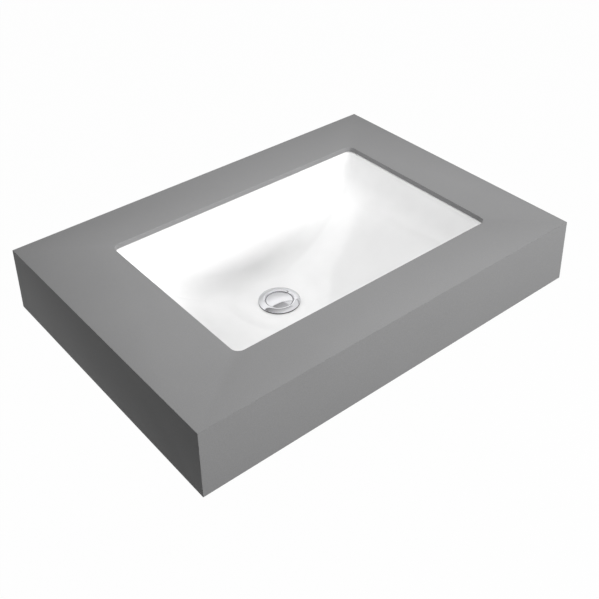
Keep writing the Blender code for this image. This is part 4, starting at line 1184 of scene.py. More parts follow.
# %% [markdown]
# Where the clips go
#
# Six clips hold the basin: two at the front, two at the back and one at each end. Each has a frame of its
# own, with its zero on the flange's outer edge and Y pointing away from the bowl. Whatever belongs to a
# clip, also the pilot hole in the batten, is then built once and placed six times.

# %% Six places for clips
CLIP_GAP = 0.010
CLIP_LEG = 0.020
CLIP_SPREAD = 0.55

clip_sides = {
    "front_left": (-CLIP_SPREAD * CUTOUT_HALF.x, -FLANGE_HALF.y, 180),
    "front_right": (CLIP_SPREAD * CUTOUT_HALF.x, -FLANGE_HALF.y, 180),
    "back_left": (-CLIP_SPREAD * CUTOUT_HALF.x, FLANGE_HALF.y, 0),
    "back_right": (CLIP_SPREAD * CUTOUT_HALF.x, FLANGE_HALF.y, 0),
    "left": (-FLANGE_HALF.x, 0, 90),
    "right": (FLANGE_HALF.x, 0, -90),
}
clip_places = {}
for name, (x, y, degrees) in clip_sides.items():
    place = Matrix.Translation((BOWL_MIDDLE.x + x, BOWL_MIDDLE.y + y, 0))
    clip_places[name] = place @ Matrix.Rotation(math.radians(degrees), 4, "Z")
print("Clips:", ", ".join(clip_places))

# %% Rail, battens and blocks
RAIL_HOLE_RADIUS = 0.0035
RAIL_HOLE_SHARES = (-0.84, -0.34, 0.34, 0.84)
RAIL_SINK = 0.0015
PILOT_RADIUS = 0.0023
PILOT_DEPTH = 0.010

rail_low, rail_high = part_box("wall_rail")
BATTEN_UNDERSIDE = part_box("left_batten")[0].z


def pilots(side):
    """Drills for the clip screws of one batten."""
    screws = [name for name in clip_places if name.startswith(side)]
    places = [clip_places[name] @ Vector((0, CLIP_GAP + CLIP_LEG / 2, BATTEN_UNDERSIDE)) for name in screws]
    return [drill("pilot", place, (0, 0, 1), PILOT_RADIUS, PILOT_DEPTH) for place in places]


rail_drills = []
rail_depth = 2 * (rail_high - rail_low).y
for share in RAIL_HOLE_SHARES:
    place = (share * rail_high.x, rail_low.y, 0)
    rail_drills.append(drill("rail_drill", place, (0, 1, 0), RAIL_HOLE_RADIUS, rail_depth, RAIL_SINK))
board("wall_rail", "X", "Y", rail_drills)
for side, length in (("front", "X"), ("back", "X"), ("left", "Y"), ("right", "Y")):
    board(side + "_batten", length, "Z", pilots(side))
for corner in ("front_left", "front_right", "back_left", "back_right"):
    board(corner + "_block", "Z", "Y")
print("Boards of 12 and 18 mm, battens' underside at", round(BATTEN_UNDERSIDE * 1000, 1), "mm")

# %% [markdown]
# Clips
#
# The steel clips hold the basin's flange up against the silicone until it sets, and for good. Each is a strap
# bent into a Z: one leg presses a ribbed rubber pad under the flange, the other is screwed to a batten. The
# side view is offset by the strap's thickness, so that both sides of each bend stay parallel.

# %% The strap's side view
STRAP = 0.002
CLIP_WIDTH = 0.020
FIT = 0.0003
PAD_LENGTH = 0.009
PAD_INSET = 0.002
PAD_THICKNESS = 0.003
BEND_INSIDE = 0.0015
BEND_STEPS = 6

pad_top = FLANGE_UNDERSIDE - FIT
pad_bottom = pad_top - PAD_THICKNESS
low_leg = pad_bottom - FIT
high_leg = BATTEN_UNDERSIDE - FIT


def beside(path, distance):
    """The path moved sideways by a distance, to the right of its direction."""
    moved = []
    for i, point in enumerate(path):
        before = (point - path[i - 1]).normalized() if i else None
        after = (path[i + 1] - point).normalized() if i + 1 < len(path) else None
        before, after = before or after, after or before
        normals = [Vector((heading.y, -heading.x)) for heading in (before, after)]
        middle = (normals[0] + normals[1]).normalized()
        moved.append(point + middle * distance / middle.dot(normals[0]))
    return moved


top_side = [Vector(point) for point in (
    (-PAD_INSET - PAD_LENGTH, low_leg), (0, low_leg), (CLIP_GAP, high_leg), (CLIP_GAP + CLIP_LEG, high_leg))]
under_side = beside(top_side, STRAP)
tight, wide = BEND_INSIDE, BEND_INSIDE + STRAP
strap_outline = [(*point, ease) for point, ease in zip(top_side, (0, tight, wide, 0))]
strap_outline += [(*point, ease) for point, ease in zip(under_side[::-1], (0, tight, wide, 0))]
strap = loose("strap", bar_mesh("strap", eased(strap_outline, 0, BEND_STEPS), CLIP_WIDTH / 2))
print("Strap steps up by", round((high_leg - low_leg) * 1000, 1), "mm")

# %% Round the strap's ends and drill it
CLIP_CORNER = 0.0035
CLIP_HOLE_RADIUS = 0.0024
BURR = 0.0003
SHARP_EDGE = math.radians(50)


def is_sharp(edge):
    """Whether two faces meet in a sharp fold at an edge."""
    return len(edge.link_faces) == 2 and edge.calc_face_angle() > SHARP_EDGE


def rounded_corners(obj, radius, ease):
    """Rounds the corners that stand across the strap's ends, then takes the burr off every sharp edge."""
    bm = bmesh.new()
    bm.from_mesh(obj.data)
    ends = (min(vertex.co.y for vertex in bm.verts), max(vertex.co.y for vertex in bm.verts))
    upright = []
    for edge in bm.edges:
        first, last = (vertex.co for vertex in edge.verts)
        at_end = any(abs(first.y - end) < STRAP and abs(last.y - end) < STRAP for end in ends)
        if at_end and abs(first.x - last.x) < WELD and abs(first.z - last.z) > STRAP / 2:
            upright.append(edge)
    bmesh.ops.bevel(bm, geom=upright, offset=radius, segments=6, profile=0.5, affect="EDGES")
    sharp = [edge for edge in bm.edges if is_sharp(edge)]
    bmesh.ops.bevel(bm, geom=sharp, offset=ease, segments=2, profile=0.5, affect="EDGES")
    bmesh.ops.remove_doubles(bm, verts=bm.verts[:], dist=WELD)
    obj.data = mesh_of(obj.name, bm)


rounded_corners(strap, CLIP_CORNER, BURR)
hole_place = (0, CLIP_GAP + CLIP_LEG / 2, high_leg - STRAP - FIT)
carve(strap, [drill("clip_drill", hole_place, (0, 0, 1), CLIP_HOLE_RADIUS, 2 * STRAP)])
print("Clip:", len(strap.data.polygons), "faces")

# %% [markdown]
# Threads
#
# A thread is a ridge that climbs as it turns. On a turned piece it is enough to let the radius of each row
# follow a wave that depends on height and angle together. The ridge fades at both ends, as it does where a
# cutting die enters and leaves.

# %% Rows of a thread
THREAD_ROWS = 8
RIDGE_STEEPNESS = 0.75


def thread(bottom, top, root, crest, pitch):
    """Rows of a right-hand thread between two heights, each with a radius that depends on the angle."""
    count = round((top - bottom) / pitch * THREAD_ROWS)
    rows = []
    for row in range(count + 1):
        z = bottom + (top - bottom) * row / count
        fade = min((z - bottom) / pitch, (top - z) / pitch, 1.0)

        def radius(angle, z=z, fade=fade):
            wave = math.cos(FULL_TURN * z / pitch - angle)
            ridge = min(max(0.5 + RIDGE_STEEPNESS * wave, 0), 1)
            return root + (crest - root) * ridge * fade

        rows.append((radius, z))
    return rows


print("Each turn of a thread has", THREAD_ROWS, "rows")

# %% [markdown]
# Pad and screw
#
# The pad's ribs let the rubber give and grip. They are grooves in its side view, pulled along the strap's
# width. The screw is one lathe outline, from its tip over the thread to the pan head, and the cross in its
# head is cut by two tapered blades.

# %% One rubber pad
RIBS = 5
RIB_GROOVE = 0.0007
RIB_DEPTH = 0.0005

rib_pitch = PAD_LENGTH / RIBS
pad_outline = [(-PAD_INSET, pad_bottom), (-PAD_INSET - PAD_LENGTH, pad_bottom)]
for rib in range(RIBS):
    start = -PAD_INSET - PAD_LENGTH + rib_pitch * rib
    for offset, depth in ((RIB_GROOVE / 2, RIB_DEPTH), (RIB_GROOVE, 0), (rib_pitch - RIB_GROOVE, 0),
                          (rib_pitch - RIB_GROOVE / 2, RIB_DEPTH)):
        pad_outline.append((start + offset, pad_top - depth))
pad_outline[2] = (-PAD_INSET - PAD_LENGTH, pad_top - RIB_DEPTH)
pad_outline[-1] = (-PAD_INSET, pad_top - RIB_DEPTH)
pad_mesh = bar_mesh("pad", eased(pad_outline, RIB_GROOVE / 4, 2), CLIP_WIDTH / 2, RIB_GROOVE / 6)
print("Pad:", len(pad_mesh.polygons), "faces")

# %% One screw
SCREW_HEAD_RADIUS = 0.0045
SCREW_HEAD = 0.0026
SCREW_HEAD_ROUND = 0.7 * SCREW_HEAD
SCREW_SHANK = 0.0020
SCREW_ROOT = 0.0014
SCREW_PITCH = 0.0018
SCREW_BITE = 0.009
SCREW_SIDES = 32
CROSS_HALF = 0.0023
CROSS_DEPTH = 0.0016
CROSS_WIDTH = 0.0009

seat = BATTEN_UNDERSIDE - 2 * FIT - STRAP
tip = BATTEN_UNDERSIDE + SCREW_BITE
head_base = seat - SCREW_HEAD
screw_outline = [(0, tip), (SCREW_ROOT / 2, tip - SCREW_ROOT)]
screw_outline += thread(seat + STRAP, tip - 2 * SCREW_ROOT, SCREW_ROOT, SCREW_SHANK, SCREW_PITCH)[::-1]
screw_outline += [(SCREW_SHANK, seat + STRAP / 2)]
screw_outline += eased([
    (0, seat, 0), (SCREW_SHANK, seat, 0), (SCREW_HEAD_RADIUS, seat, BURR),
    (SCREW_HEAD_RADIUS, head_base, SCREW_HEAD_ROUND), (0, head_base, 0)], BURR, 6)[1:]
screw = loose("screw", lathe_mesh("screw", screw_outline, SCREW_SIDES))
cross = [(-CROSS_HALF, head_base - BURR), (CROSS_HALF, head_base - BURR),
         (CROSS_HALF / 3, head_base + CROSS_DEPTH), (-CROSS_HALF / 3, head_base + CROSS_DEPTH)]
blades = [loose("blade", bar_mesh("blade", cross, CROSS_WIDTH / 2)) for _ in range(2)]
blades[1].rotation_euler.z = math.radians(90)
carve(screw, blades)
print("Screw:", len(screw.data.polygons), "faces")

# %% Six clips with their pads and screws
SCREW_TURN = math.radians(37)

screw_place = Matrix.Translation((0, CLIP_GAP + CLIP_LEG / 2, 0))
for index, (name, place) in enumerate(clip_places.items()):
    turned = screw_place @ Matrix.Rotation(SCREW_TURN * index, 4, "Z")
    for kind, mesh, finish, slot, at in (
            ("clip", strap.data, zinc, "zinc_steel", place),
            ("pad", pad_mesh, rubber, "rubber", place),
            ("screw", screw.data, zinc, "zinc_steel", place @ turned)):
        piece = loose(f"{name}_{kind}_piece", mesh)
        piece.matrix_world = at
        bpy.context.view_layer.update()
        dressed(piece, finish, slot, [f"{name}_{kind}"])
for pattern in (strap, screw):
    bpy.data.objects.remove(pattern, do_unlink=True)
print("Clips fitted:", len(clip_places))

# %% [markdown]
# The waste
#
# The waste is a turned brass tube with a wide flange, plated with chrome. The flange presses a black gasket
# on the glaze, whose dark edge is also painted shadow in place of the shadow gap under the flange, and rises
# from a thin round edge to a narrow brow round the cap. All its heights are measured from the seat in the
# basin, and every point of the outline is a pair of radius and height.

# %% The flange's crown
FINE = 0.0003
FLANGE_FOOT = (0.0324, 0.0026)
FLANGE_BROW = (0.0252, 0.0050)
FLANGE_BULGE = 0.00035
FLANGE_STEPS = 10


def turned_piece(name, outline, finish, slot, stands_for, body="counter", sides=96):
    """A lathe piece on the drain's axis. Its heights are measured from the waste's seat."""
    piece = loose(name, lathe_mesh(name, outline, sides), DRAIN)
    return dressed(piece, finish, slot, [stands_for], body)


def cone_level(radius):
    """Height of the basin's 45 degree cone at a radius."""
    return radius - DRAIN_CONE_RADIUS


flange_crown = []
for step in range(FLANGE_STEPS + 1):
    t = step / FLANGE_STEPS
    across = FLANGE_FOOT[0] + (FLANGE_BROW[0] - FLANGE_FOOT[0]) * t
    chord = FLANGE_FOOT[1] + (FLANGE_BROW[1] - FLANGE_FOOT[1]) * t
    flange_crown.append((across, chord + FLANGE_BULGE * 4 * t * (1 - t), 0))
print("Flange rises by", round((FLANGE_BROW[1] - FLANGE_FOOT[1]) * 1000, 1), "mm from its edge to its brow")

# %% [markdown]
# The tube
#
# Below the flange a cone presses on the upper seal. It leans 45 degrees, so a gap across it is longer by the
# root of two when it is measured straight up. The bore has a ledge for the pop-up's bridge. Outside, the
# tube has a pipe thread, 11 turns to the inch, for the lock nut and the trap. Three windows in its wall let
# the overflow's water in, each cut by a bar with round corners.

# %% The waste's outline
WASTE_RIM = 0.033
# The gasket's sizes. Its black ring under the flange's edge is partly painted shadow, standing in for the
# shadow gap there.
SHADOW_GASKET_INNER = 0.0302
SHADOW_GASKET_HEIGHT = 0.0019
DISH_RADIUS = 0.0218
DISH_EDGE = (0.0236, 0.0031)
DISH_LEVEL = 0.0018
TUBE_RADIUS = 0.02095
TUBE_BORE = 0.01795
TUBE_LEDGE = 0.001
TUBE_LENGTH = 0.080
LEDGE_LEVEL = -0.0436
PIPE_PITCH = 0.0254 / 11
PIPE_DEPTH = 0.0012
THREAD_TOP = -0.0295
STRAIGHT_UP = math.sqrt(2)
SEAL_SPACE = 0.0015 * STRAIGHT_UP
CONE_RISE = 2 * FIT * STRAIGHT_UP + SEAL_SPACE

waste_top = [
    (TUBE_RADIUS, cone_level(TUBE_RADIUS) + CONE_RISE, FINE),
    (DRAIN_CONE_RADIUS + FIT - CONE_RISE, FIT, FINE),
    (SHADOW_GASKET_INNER, FIT, 0),
    (SHADOW_GASKET_INNER, SHADOW_GASKET_HEIGHT, 0),
    (WASTE_RIM, SHADOW_GASKET_HEIGHT, FINE / 2),
    (WASTE_RIM, FLANGE_FOOT[1] - FINE, FINE),
    *flange_crown,
    (DISH_EDGE[0], FLANGE_BROW[1], FINE),
    (DISH_RADIUS, DISH_EDGE[1], FINE),
    (DISH_RADIUS, DISH_LEVEL, 2 * FINE),
    (TUBE_BORE, DISH_LEVEL + TUBE_BORE - DISH_RADIUS, 3 * FINE),
    (TUBE_BORE, LEDGE_LEVEL),
    (TUBE_BORE - TUBE_LEDGE, LEDGE_LEVEL),
    (TUBE_BORE - TUBE_LEDGE, -TUBE_LENGTH, 2 * FINE),
    (TUBE_RADIUS, -TUBE_LENGTH, 3 * FINE),
]
waste_outline = eased(waste_top, FINE, 6)
pipe_root = TUBE_RADIUS - PIPE_DEPTH
waste_outline += thread(-TUBE_LENGTH + 3 * FINE, THREAD_TOP, pipe_root, TUBE_RADIUS, PIPE_PITCH)
print("Waste's outline:", len(waste_outline), "points")

# %% Turn the waste and cut its windows
CHROME_SIDES = 128
WINDOW_HALF_WIDTH = 0.007
WINDOW_TOP = -0.015
WINDOW_BASE = -0.027
WINDOW_CORNER = 0.003
WINDOW_TURNS = (-90, 30, 150)

waste = loose("waste_tube", lathe_mesh("waste_tube", waste_outline, CHROME_SIDES), DRAIN)
window_half = (WINDOW_TOP - WINDOW_BASE) / 2
window_outline = rounded_rectangle(WINDOW_HALF_WIDTH, window_half, WINDOW_CORNER, 6)
window_middle = Matrix.Translation(DRAIN + Vector((0, 0, (WINDOW_TOP + WINDOW_BASE) / 2)))
into_wall = Matrix.Translation((TUBE_RADIUS, 0, 0))
windows = []
for degrees in WINDOW_TURNS:
    cutter = loose("window", bar_mesh("window", window_outline, TUBE_RADIUS / 2))
    cutter.matrix_world = window_middle @ Matrix.Rotation(math.radians(degrees), 4, "Z") @ into_wall
    windows.append(cutter)
carve(waste, windows)
dressed(waste, chrome, "chrome", ["waste_body"])
print("Waste:", len(waste.data.polygons), "faces")

# %% [markdown]
# Seals above
#
# Two black rubber rings seal the waste from above: a cone in the basin's cone, and a flat gasket under the
# flange's edge. The gasket is also painted shadow: its black ring stands in for the shadow gap under the
# flange's edge, and shows as a thin dark line round the chrome.

# %% Rings above the ceramic
SEAL_INNER = DRAIN_BORE_RADIUS + FIT
SEAL_REACH = 0.0037

slope_gap = FIT * STRAIGHT_UP
seal_outer = SEAL_INNER + SEAL_REACH
turned_piece("cone_seal", eased([
    (SEAL_INNER, cone_level(SEAL_INNER) + slope_gap),
    (seal_outer, cone_level(seal_outer) + slope_gap),
    (seal_outer, cone_level(seal_outer) + slope_gap + SEAL_SPACE),
    (SEAL_INNER, cone_level(SEAL_INNER) + slope_gap + SEAL_SPACE)], FINE), rubber, "rubber", "upper_seal")

# A sealing gasket that is also painted shadow: its black ring under the flange's edge stands in for the
# shadow gap there.
turned_piece("flange_gasket_and_painted_shadow", eased([
    (SHADOW_GASKET_INNER + FIT / 2, FIT / 2), (WASTE_RIM - FINE, FIT / 2),
    (WASTE_RIM - FINE, SHADOW_GASKET_HEIGHT - FIT / 2), (SHADOW_GASKET_INNER + FIT / 2, SHADOW_GASKET_HEIGHT - FIT / 2)],
    FINE / 2), rubber, "rubber", "upper_seal")
print("Gasket", round((SHADOW_GASKET_HEIGHT - FIT) * 1000, 1), "mm thick")

# %% [markdown]
# Seal, washer and nut below
#
# Below, a thick tapered rubber ring seals the boss's foot, a slippery nylon washer lets the nut turn without
# twisting the rubber, and a brass nut pulls it all tight. The nut's corners are cut back by a cone, and that
# leaves the curved edges that every hexagon nut has. Its radius and its lower edge simply follow the angle.

# %% Rings below the ceramic
LOWER_INNER = TUBE_RADIUS + FIT
LOWER_SEAL_RADIUS = 0.033
LOWER_SEAL_TAPER = 0.003
LOWER_SEAL_THICKNESS = 0.008
WASHER_RADIUS = 0.030
WASHER_THICKNESS = 0.0015

lower_top = -BOSS_HEIGHT - FIT
lower_base = lower_top - LOWER_SEAL_THICKNESS
washer_top = lower_base - FIT
washer_base = washer_top - WASHER_THICKNESS
turned_piece("foot_seal", eased([
    (LOWER_INNER, lower_top, FINE),
    (LOWER_SEAL_RADIUS, lower_top, 3 * FINE),
    (LOWER_SEAL_RADIUS - LOWER_SEAL_TAPER, lower_base, 5 * FINE),
    (LOWER_INNER, lower_base, FINE)], FINE), rubber, "rubber", "lower_seal")
turned_piece("nylon_washer", eased([
    (LOWER_INNER, washer_top), (WASHER_RADIUS, washer_top), (WASHER_RADIUS, washer_base),
    (LOWER_INNER, washer_base)], FINE), nylon, "nylon", "slip_washer")
print("Washer's underside at", round((DRAIN.z + washer_base) * 1000, 1), "mm")

# %% Lock nut
NUT_FLATS_HALF = 0.026
NUT_THICKNESS = 0.009
NUT_CHAMFER = 0.0025
NUT_THREAD_DEPTH = 0.0009
SIXTH = math.radians(60)

nut_top = washer_base - FIT
nut_base = nut_top - NUT_THICKNESS
nut_corner = NUT_FLATS_HALF / math.cos(SIXTH / 2)


def hexagon(angle):
    """Distance from the axis to the side of the nut."""
    return NUT_FLATS_HALF / math.cos(angle % SIXTH - SIXTH / 2)


def chamfer_level(angle):
    """Height at which the chamfer's cone leaves the side of the nut."""
    return nut_base + max(FINE, hexagon(angle) - nut_corner + NUT_CHAMFER)


nut_root = LOWER_INNER + NUT_THREAD_DEPTH
nut_outline = [
    (nut_root, nut_top),
    (lambda angle: hexagon(angle) - FINE, nut_top),
    (hexagon, nut_top - FINE),
    (hexagon, chamfer_level),
    (lambda angle: min(hexagon(angle) - FINE, nut_corner - NUT_CHAMFER), nut_base),
    (nut_root, nut_base),
]
nut_outline += thread(nut_base + FINE, nut_top - FINE, nut_root, LOWER_INNER, PIPE_PITCH)
turned_piece("hexagon_nut", nut_outline, brass, "brass", "lock_nut")
print("Nut's underside at", round((DRAIN.z + nut_base) * 1000, 1), "mm")

# %% [markdown]
# Inside the waste
#
# A brass bridge spans the tube. A latch housing stands on it, and a spring inside pushes the plunger that
# carries the cap. One press locks the cap down, the next lets it up. The bridge is a ring, a hub and three
# spokes, joined as one casting.

# %% Bridge
BRIDGE_TOP = -0.0383
BRIDGE_BASE = -0.0433
BRIDGE_RADIUS = TUBE_BORE - FIT
BRIDGE_RING = 0.0022
HUB_RADIUS = 0.0085
HUB_BORE = 0.0033
SPOKE_HALF = 0.0015
SPOKE_TURNS = (90, 210, 330)

bridge = loose("bridge_casting", lathe_mesh("bridge_casting", eased([
    (BRIDGE_RADIUS, BRIDGE_TOP), (BRIDGE_RADIUS, BRIDGE_BASE), (BRIDGE_RADIUS - BRIDGE_RING, BRIDGE_BASE),
    (BRIDGE_RADIUS - BRIDGE_RING, BRIDGE_TOP)], FINE)), DRAIN)
hub = loose("hub", lathe_mesh("hub", eased([
    (HUB_RADIUS, BRIDGE_TOP), (HUB_RADIUS, BRIDGE_BASE), (HUB_BORE, BRIDGE_BASE), (HUB_BORE, BRIDGE_TOP)],
    FINE)), DRAIN)
spokes = [hub]
for degrees in SPOKE_TURNS:
    low = Vector(((HUB_RADIUS + HUB_BORE) / 2, -SPOKE_HALF, BRIDGE_BASE + FINE))
    high = Vector((BRIDGE_RADIUS - BRIDGE_RING / 2, SPOKE_HALF, BRIDGE_TOP - FINE))
    spoke = loose("spoke", mesh_of("spoke", block(low, high, FINE)), DRAIN)
    spoke.rotation_euler.z = math.radians(degrees)
    spokes.append(spoke)
carve(bridge, spokes, "UNION")
dressed(bridge, brass, "brass", ["bridge"])
print("Bridge:", len(bridge.data.polygons), "faces")

# %% Latch housing
HOUSING_BORE = 0.0063
HOUSING_TOP = -0.012
HOUSING_FLOOR = -0.036
HOUSING_BASE = -0.038
STUD_RADIUS = 0.003
STUD_LENGTH = 0.0044
COLLAR = 0.0030

turned_piece("latch_barrel", eased([
    (0, HOUSING_FLOOR, 0), (HOUSING_BORE, HOUSING_FLOOR),
    (HOUSING_BORE, HOUSING_TOP), (HUB_RADIUS, HOUSING_TOP),
    (HUB_RADIUS, HOUSING_TOP - COLLAR), (HUB_RADIUS - FINE, HOUSING_TOP - COLLAR - FINE),
    (HUB_RADIUS - FINE, HOUSING_BASE + COLLAR + FINE), (HUB_RADIUS, HOUSING_BASE + COLLAR),
    (HUB_RADIUS, HOUSING_BASE), (STUD_RADIUS, HOUSING_BASE), (STUD_RADIUS, HOUSING_BASE - STUD_LENGTH),
    (0, HOUSING_BASE - STUD_LENGTH, 0)], FINE / 2, 3), acetal, "plastic", "latch_housing", sides=64)
print("Housing", round((HOUSING_TOP - HOUSING_BASE) * 1000, 1), "mm tall")

# %% [markdown]
# The spring
#
# A spring is a wire swept along a helix. Its end turns lie flat, so that it stands straight, and only the
# turns between them open. It has one foot in the housing and the other on the plunger.

# %% A wire along a helix
WIRE_RADIUS = 0.00045
COIL_RADIUS = 0.00415
ACTIVE_TURNS = 3.0
CLOSED_PITCH = 2.1 * WIRE_RADIUS
TURN_POINTS = 28
WIRE_SIDES = 10


def helix_height(turns, low, high):
    """Height of the wire's middle after some turns: a flat turn, the open turns, a flat turn."""
    share = min(max((turns - 1) / ACTIVE_TURNS, 0), 1)
    last = max(turns - 1 - ACTIVE_TURNS, 0)
    opened = (high - low - 2 * CLOSED_PITCH) * share
    return low + CLOSED_PITCH * min(turns, 1) + opened + CLOSED_PITCH * last


def coil_mesh(name, low, high):
    """A wire swept along the helix between two heights, with closed ends."""
    bm = bmesh.new()
    rings = []
    count = round((ACTIVE_TURNS + 2) * TURN_POINTS)
    for i in range(count + 1):
        turns = i / TURN_POINTS
        outward = Vector((math.cos(FULL_TURN * turns), math.sin(FULL_TURN * turns), 0))
        middle = outward * COIL_RADIUS + Vector((0, 0, helix_height(turns, low, high)))
        ring = []
        for side in range(WIRE_SIDES):
            angle = FULL_TURN * side / WIRE_SIDES
            offset = outward * math.cos(angle) + Vector((0, 0, math.sin(angle)))
            ring.append(bm.verts.new(DRAIN + middle + offset * WIRE_RADIUS))
        rings.append(ring)
    for ring, following in zip(rings, rings[1:]):
        for side in range(WIRE_SIDES):
            after = (side + 1) % WIRE_SIDES
            bm.faces.new((ring[side], ring[after], following[after], following[side]))
    bm.faces.new(rings[0][::-1])
    bm.faces.new(rings[-1])
    return mesh_of(name, bm)


# %% Spring
PLUNGER_BASE = -0.027

coil = loose("latch_spring", coil_mesh(
    "latch_spring", HOUSING_FLOOR + FIT + WIRE_RADIUS, PLUNGER_BASE - FIT - WIRE_RADIUS))
coil.data.materials.append(zinc)
coil.data.shade_smooth()
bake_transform(coil)
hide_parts("spring")
print("Spring:", len(coil.data.polygons), "faces")

# %% [markdown]
# The pop-up
#
# The plunger, the cap and its ring seal rise together. The cap is a low dome with a small round edge, plated
# and polished until it mirrors the room. Only a thin dark gap parts it from the flange. The dome is part of a
# large ball, whose radius follows from the dome's width and height.

# %% The cap's crown
CAP_RADIUS = 0.021
CAP_EDGE_LEVEL = 0.0028
CAP_CROWN = 0.0050
CAP_EDGE = 0.0007
CROWN_STEPS = 24

half_chord = CAP_RADIUS - CAP_EDGE / 2
crown_rise = CAP_CROWN - CAP_EDGE_LEVEL
crown_radius = (half_chord**2 + crown_rise**2) / (2 * crown_rise)
crown = []
for step in range(CROWN_STEPS):
    r = (half_chord - CAP_EDGE) * step / (CROWN_STEPS - 1)
    crown.append((r, CAP_CROWN - crown_radius + math.sqrt(crown_radius**2 - r**2)))
print("Crown's radius", round(crown_radius * 1000), "mm")

# %% Cap
CAP_UNDERSIDE = 0.00135
LIP_TOP = -0.00225
LIP_BASE = -0.00365
LIP_OVERHANG = 0.0012
NECK_RADIUS = 0.0158

stud_top = LIP_BASE - FIT + STUD_LENGTH
bore = STUD_RADIUS + FIT
below_cap = eased([
    (*crown[-1], 0), (CAP_RADIUS, CAP_EDGE_LEVEL, CAP_EDGE),
    (CAP_RADIUS, CAP_UNDERSIDE), (NECK_RADIUS, CAP_UNDERSIDE),
    (NECK_RADIUS, LIP_TOP), (NECK_RADIUS + LIP_OVERHANG, LIP_TOP), (NECK_RADIUS + LIP_OVERHANG, LIP_BASE),
    (bore, LIP_BASE), (bore, stud_top + FIT), (0, stud_top + FIT, 0)], FINE, 6)
turned_piece("cap_dome", crown + below_cap[1:], chrome, "chrome", "cap", "pop_up", sides=CHROME_SIDES)
print("Cap's outline:", len(crown + below_cap[1:]), "points")

# %% Ring seal
RING_LEVEL = -0.00045
RING_SECTION = 0.0015
RING_STEPS = 16

ring_middle = NECK_RADIUS + FIT + RING_SECTION
ring_outline = []
for step in range(RING_STEPS):
    angle = FULL_TURN * step / RING_STEPS
    across, up = RING_SECTION * math.cos(angle), RING_SECTION * math.sin(angle)
    ring_outline.append((ring_middle + across, RING_LEVEL + up))
turned_piece("cap_ring", ring_outline, rubber, "rubber", "cap_seal", "pop_up")
print("Ring seal", RING_SECTION * 2000, "mm thick")

# %% Plunger
PLUNGER_RADIUS = 0.006
GROOVE = 0.0006

stem_top = LIP_BASE - FIT
turned_piece("plunger_stem", eased([
    (0, stud_top, 0), (STUD_RADIUS, stud_top), (STUD_RADIUS, stem_top), (PLUNGER_RADIUS, stem_top),
    (PLUNGER_RADIUS, HOUSING_TOP + 4 * GROOVE), (PLUNGER_RADIUS - GROOVE, HOUSING_TOP + 3 * GROOVE),
    (PLUNGER_RADIUS - GROOVE, HOUSING_TOP + 2 * GROOVE), (PLUNGER_RADIUS, HOUSING_TOP + GROOVE),
    (PLUNGER_RADIUS, PLUNGER_BASE), (0, PLUNGER_BASE, 0)],
    FINE / 2, 3), brass, "brass", "plunger", "pop_up", sides=64)
print("Plunger", round((stud_top - PLUNGER_BASE) * 1000, 1), "mm tall")

# %% [markdown]
# The stage
#
# A counter like this hangs on a wall at a comfortable height, so the floor lies well below it. Floor and
# sky are white where the lens or a reflection looks at them, and the floor still takes the counter's soft
# shadow. From below, the floor lets the lens look through it, so that the underside can be seen too.

# %% Which rays look, and which carry light
def seen_directly(finish):
    """1 for rays from the lens, from a mirror or through glass, 0 for light that bounces."""
    rays = node(finish, "LightPath").outputs
    seen = rays["Is Camera Ray"]
    for other in ("Is Glossy Ray", "Is Transmission Ray"):
        seen = node(finish, "Math", {0: seen, 1: rays[other]}, operation="MAXIMUM").outputs[0]
    return seen


# %% Floor
DECK_HEIGHT_OVER_FLOOR = 0.85
FLOOR_SIZE = 24.0
FLOOR_SEEN = 0.85
FLOOR_BOUNCE = 0.12
FLOOR_GLOW = 0.98
WHITE = (1, 1, 1, 1)

floor_mesh = bmesh.new()
bmesh.ops.create_grid(floor_mesh, x_segments=1, y_segments=1, size=FLOOR_SIZE / 2)
floor = loose("floor", mesh_of("floor", floor_mesh), (0, 0, DECK_TOP - DECK_HEIGHT_OVER_FLOOR))

floor_finish = bpy.data.materials.new("white_floor")
floor_finish.use_nodes = True
floor_finish.node_tree.nodes.clear()
seen = seen_directly(floor_finish)
grey = spread(floor_finish, seen, FLOOR_BOUNCE, FLOOR_SEEN, 0, 1)
paint = node(floor_finish, "BsdfDiffuse", {"Color": grey})
glow = node(floor_finish, "Emission", {"Color": WHITE, "Strength": 1.0})
share = node(floor_finish, "Math", {0: seen, 1: FLOOR_GLOW}, operation="MULTIPLY")
lit = node(floor_finish, "MixShader", {0: share.outputs[0], 1: paint.outputs[0], 2: glow.outputs[0]})
below = node(floor_finish, "NewGeometry").outputs["Backfacing"]
clear = node(floor_finish, "BsdfTransparent")
sides = node(floor_finish, "MixShader", {0: below, 1: lit.outputs[0], 2: clear.outputs[0]})
node(floor_finish, "OutputMaterial", {"Surface": sides.outputs[0]})
floor.data.materials.append(floor_finish)
told(floor_finish)

# %% Sky
SKY_LIGHT = 0.34

sky = bpy.data.worlds.new("sky")
bpy.context.scene.world = sky
sky.use_nodes = True
sky.node_tree.nodes.clear()
strength = spread(sky, seen_directly(sky), SKY_LIGHT, 1.0, 0, 1)
background = node(sky, "Background", {"Color": WHITE, "Strength": strength})
node(sky, "OutputWorld", {"Surface": background.outputs[0]})
told(sky)

# %% [markdown]
# A dark card
#
# Chrome shows what stands round it, and an all-white room would leave it without shape. A photographer sets
# a grey card where only the mirrors see it. This one stands behind the counter and high up, dark at its
# foot and pale at its top, and neither casts a shadow nor lights anything else.

# %% The card
CARD_DARK = 0.02
CARD_PALE = 0.88
CARD_PLACE = (-0.184, 0.354, 1.275)
CARD_WIDTH = 2.4
CARD_HEIGHT = 1.6


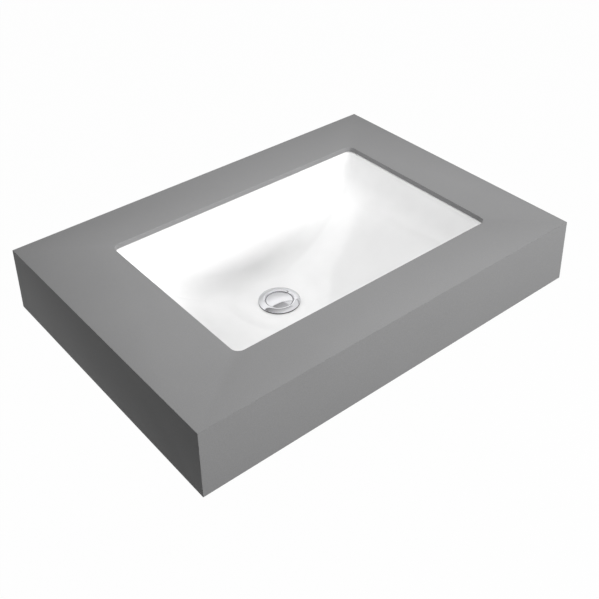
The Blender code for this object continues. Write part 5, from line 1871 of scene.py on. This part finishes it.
def dark_card(name, place, width, height):
    """A graded card that faces the drain and that only mirrors can see."""
    bm = bmesh.new()
    bmesh.ops.create_grid(bm, x_segments=1, y_segments=1, size=0.5)
    card = loose(name, mesh_of(name, bm), place)
    card.scale = (width, height, 1)
    card.rotation_euler = (DRAIN - Vector(place)).to_track_quat("Z", "Y").to_euler()
    finish = bpy.data.materials.new(name)
    finish.use_nodes = True
    finish.node_tree.nodes.clear()
    height_on_card = node(finish, "SeparateXYZ", {"Vector": own_place(finish)}).outputs["Y"]
    grey = spread(finish, height_on_card, CARD_DARK, CARD_PALE, -0.5, 0.5)
    glow = node(finish, "Emission", {"Color": WHITE, "Strength": grey})
    node(finish, "OutputMaterial", {"Surface": glow.outputs[0]})
    card.data.materials.append(finish)
    card.visible_camera = False
    card.visible_diffuse = False
    card.visible_shadow = False
    card.visible_transmission = False
    told(finish)


dark_card("back_card", CARD_PLACE, CARD_WIDTH, CARD_HEIGHT)

# %% [markdown]
# Light
#
# The deck and the front are bright and the left end is dark, so the main light stands in front and to the
# right. It alone would leave the bowl's right wall grey. A small panel overhead fills the bowl from above,
# and hardly touches the upright aprons. Neither lamp shows in the chrome or the glaze, where it would burn
# out.

# %% Key light and overhead panel
LIGHT_AIM = Vector((0.0, -0.25, -0.02))
KEY_PLACE, KEY_SIZE, KEY_WATTS = (0.65, -2.95, 0.95), (1.0, 0.6), 70.0
OVERHEAD_PLACE, OVERHEAD_SIZE, OVERHEAD_WATTS = (0.05, -0.25, 0.85), (0.36, 0.24), 4.5


def soft_light(name, place, width, height, power):
    """A rectangular lamp that looks at the basin and has no mirror image."""
    lamp = bpy.data.lights.new(name, "AREA")
    lamp.shape = "RECTANGLE"
    lamp.size = width
    lamp.size_y = height
    lamp.energy = power
    holder = bpy.data.objects.new(name, lamp)
    bpy.context.scene.collection.objects.link(holder)
    holder.location = place
    holder.visible_camera = False
    holder.visible_glossy = False
    holder.rotation_euler = (LIGHT_AIM - Vector(place)).to_track_quat("-Z", "Y").to_euler()
    distance = (LIGHT_AIM - Vector(place)).length
    print(f"{name}: {power} W, {width} x {height} m, {distance:.2f} m from its aim")


soft_light("key", KEY_PLACE, *KEY_SIZE, KEY_WATTS)
soft_light("overhead", OVERHEAD_PLACE, *OVERHEAD_SIZE, OVERHEAD_WATTS)
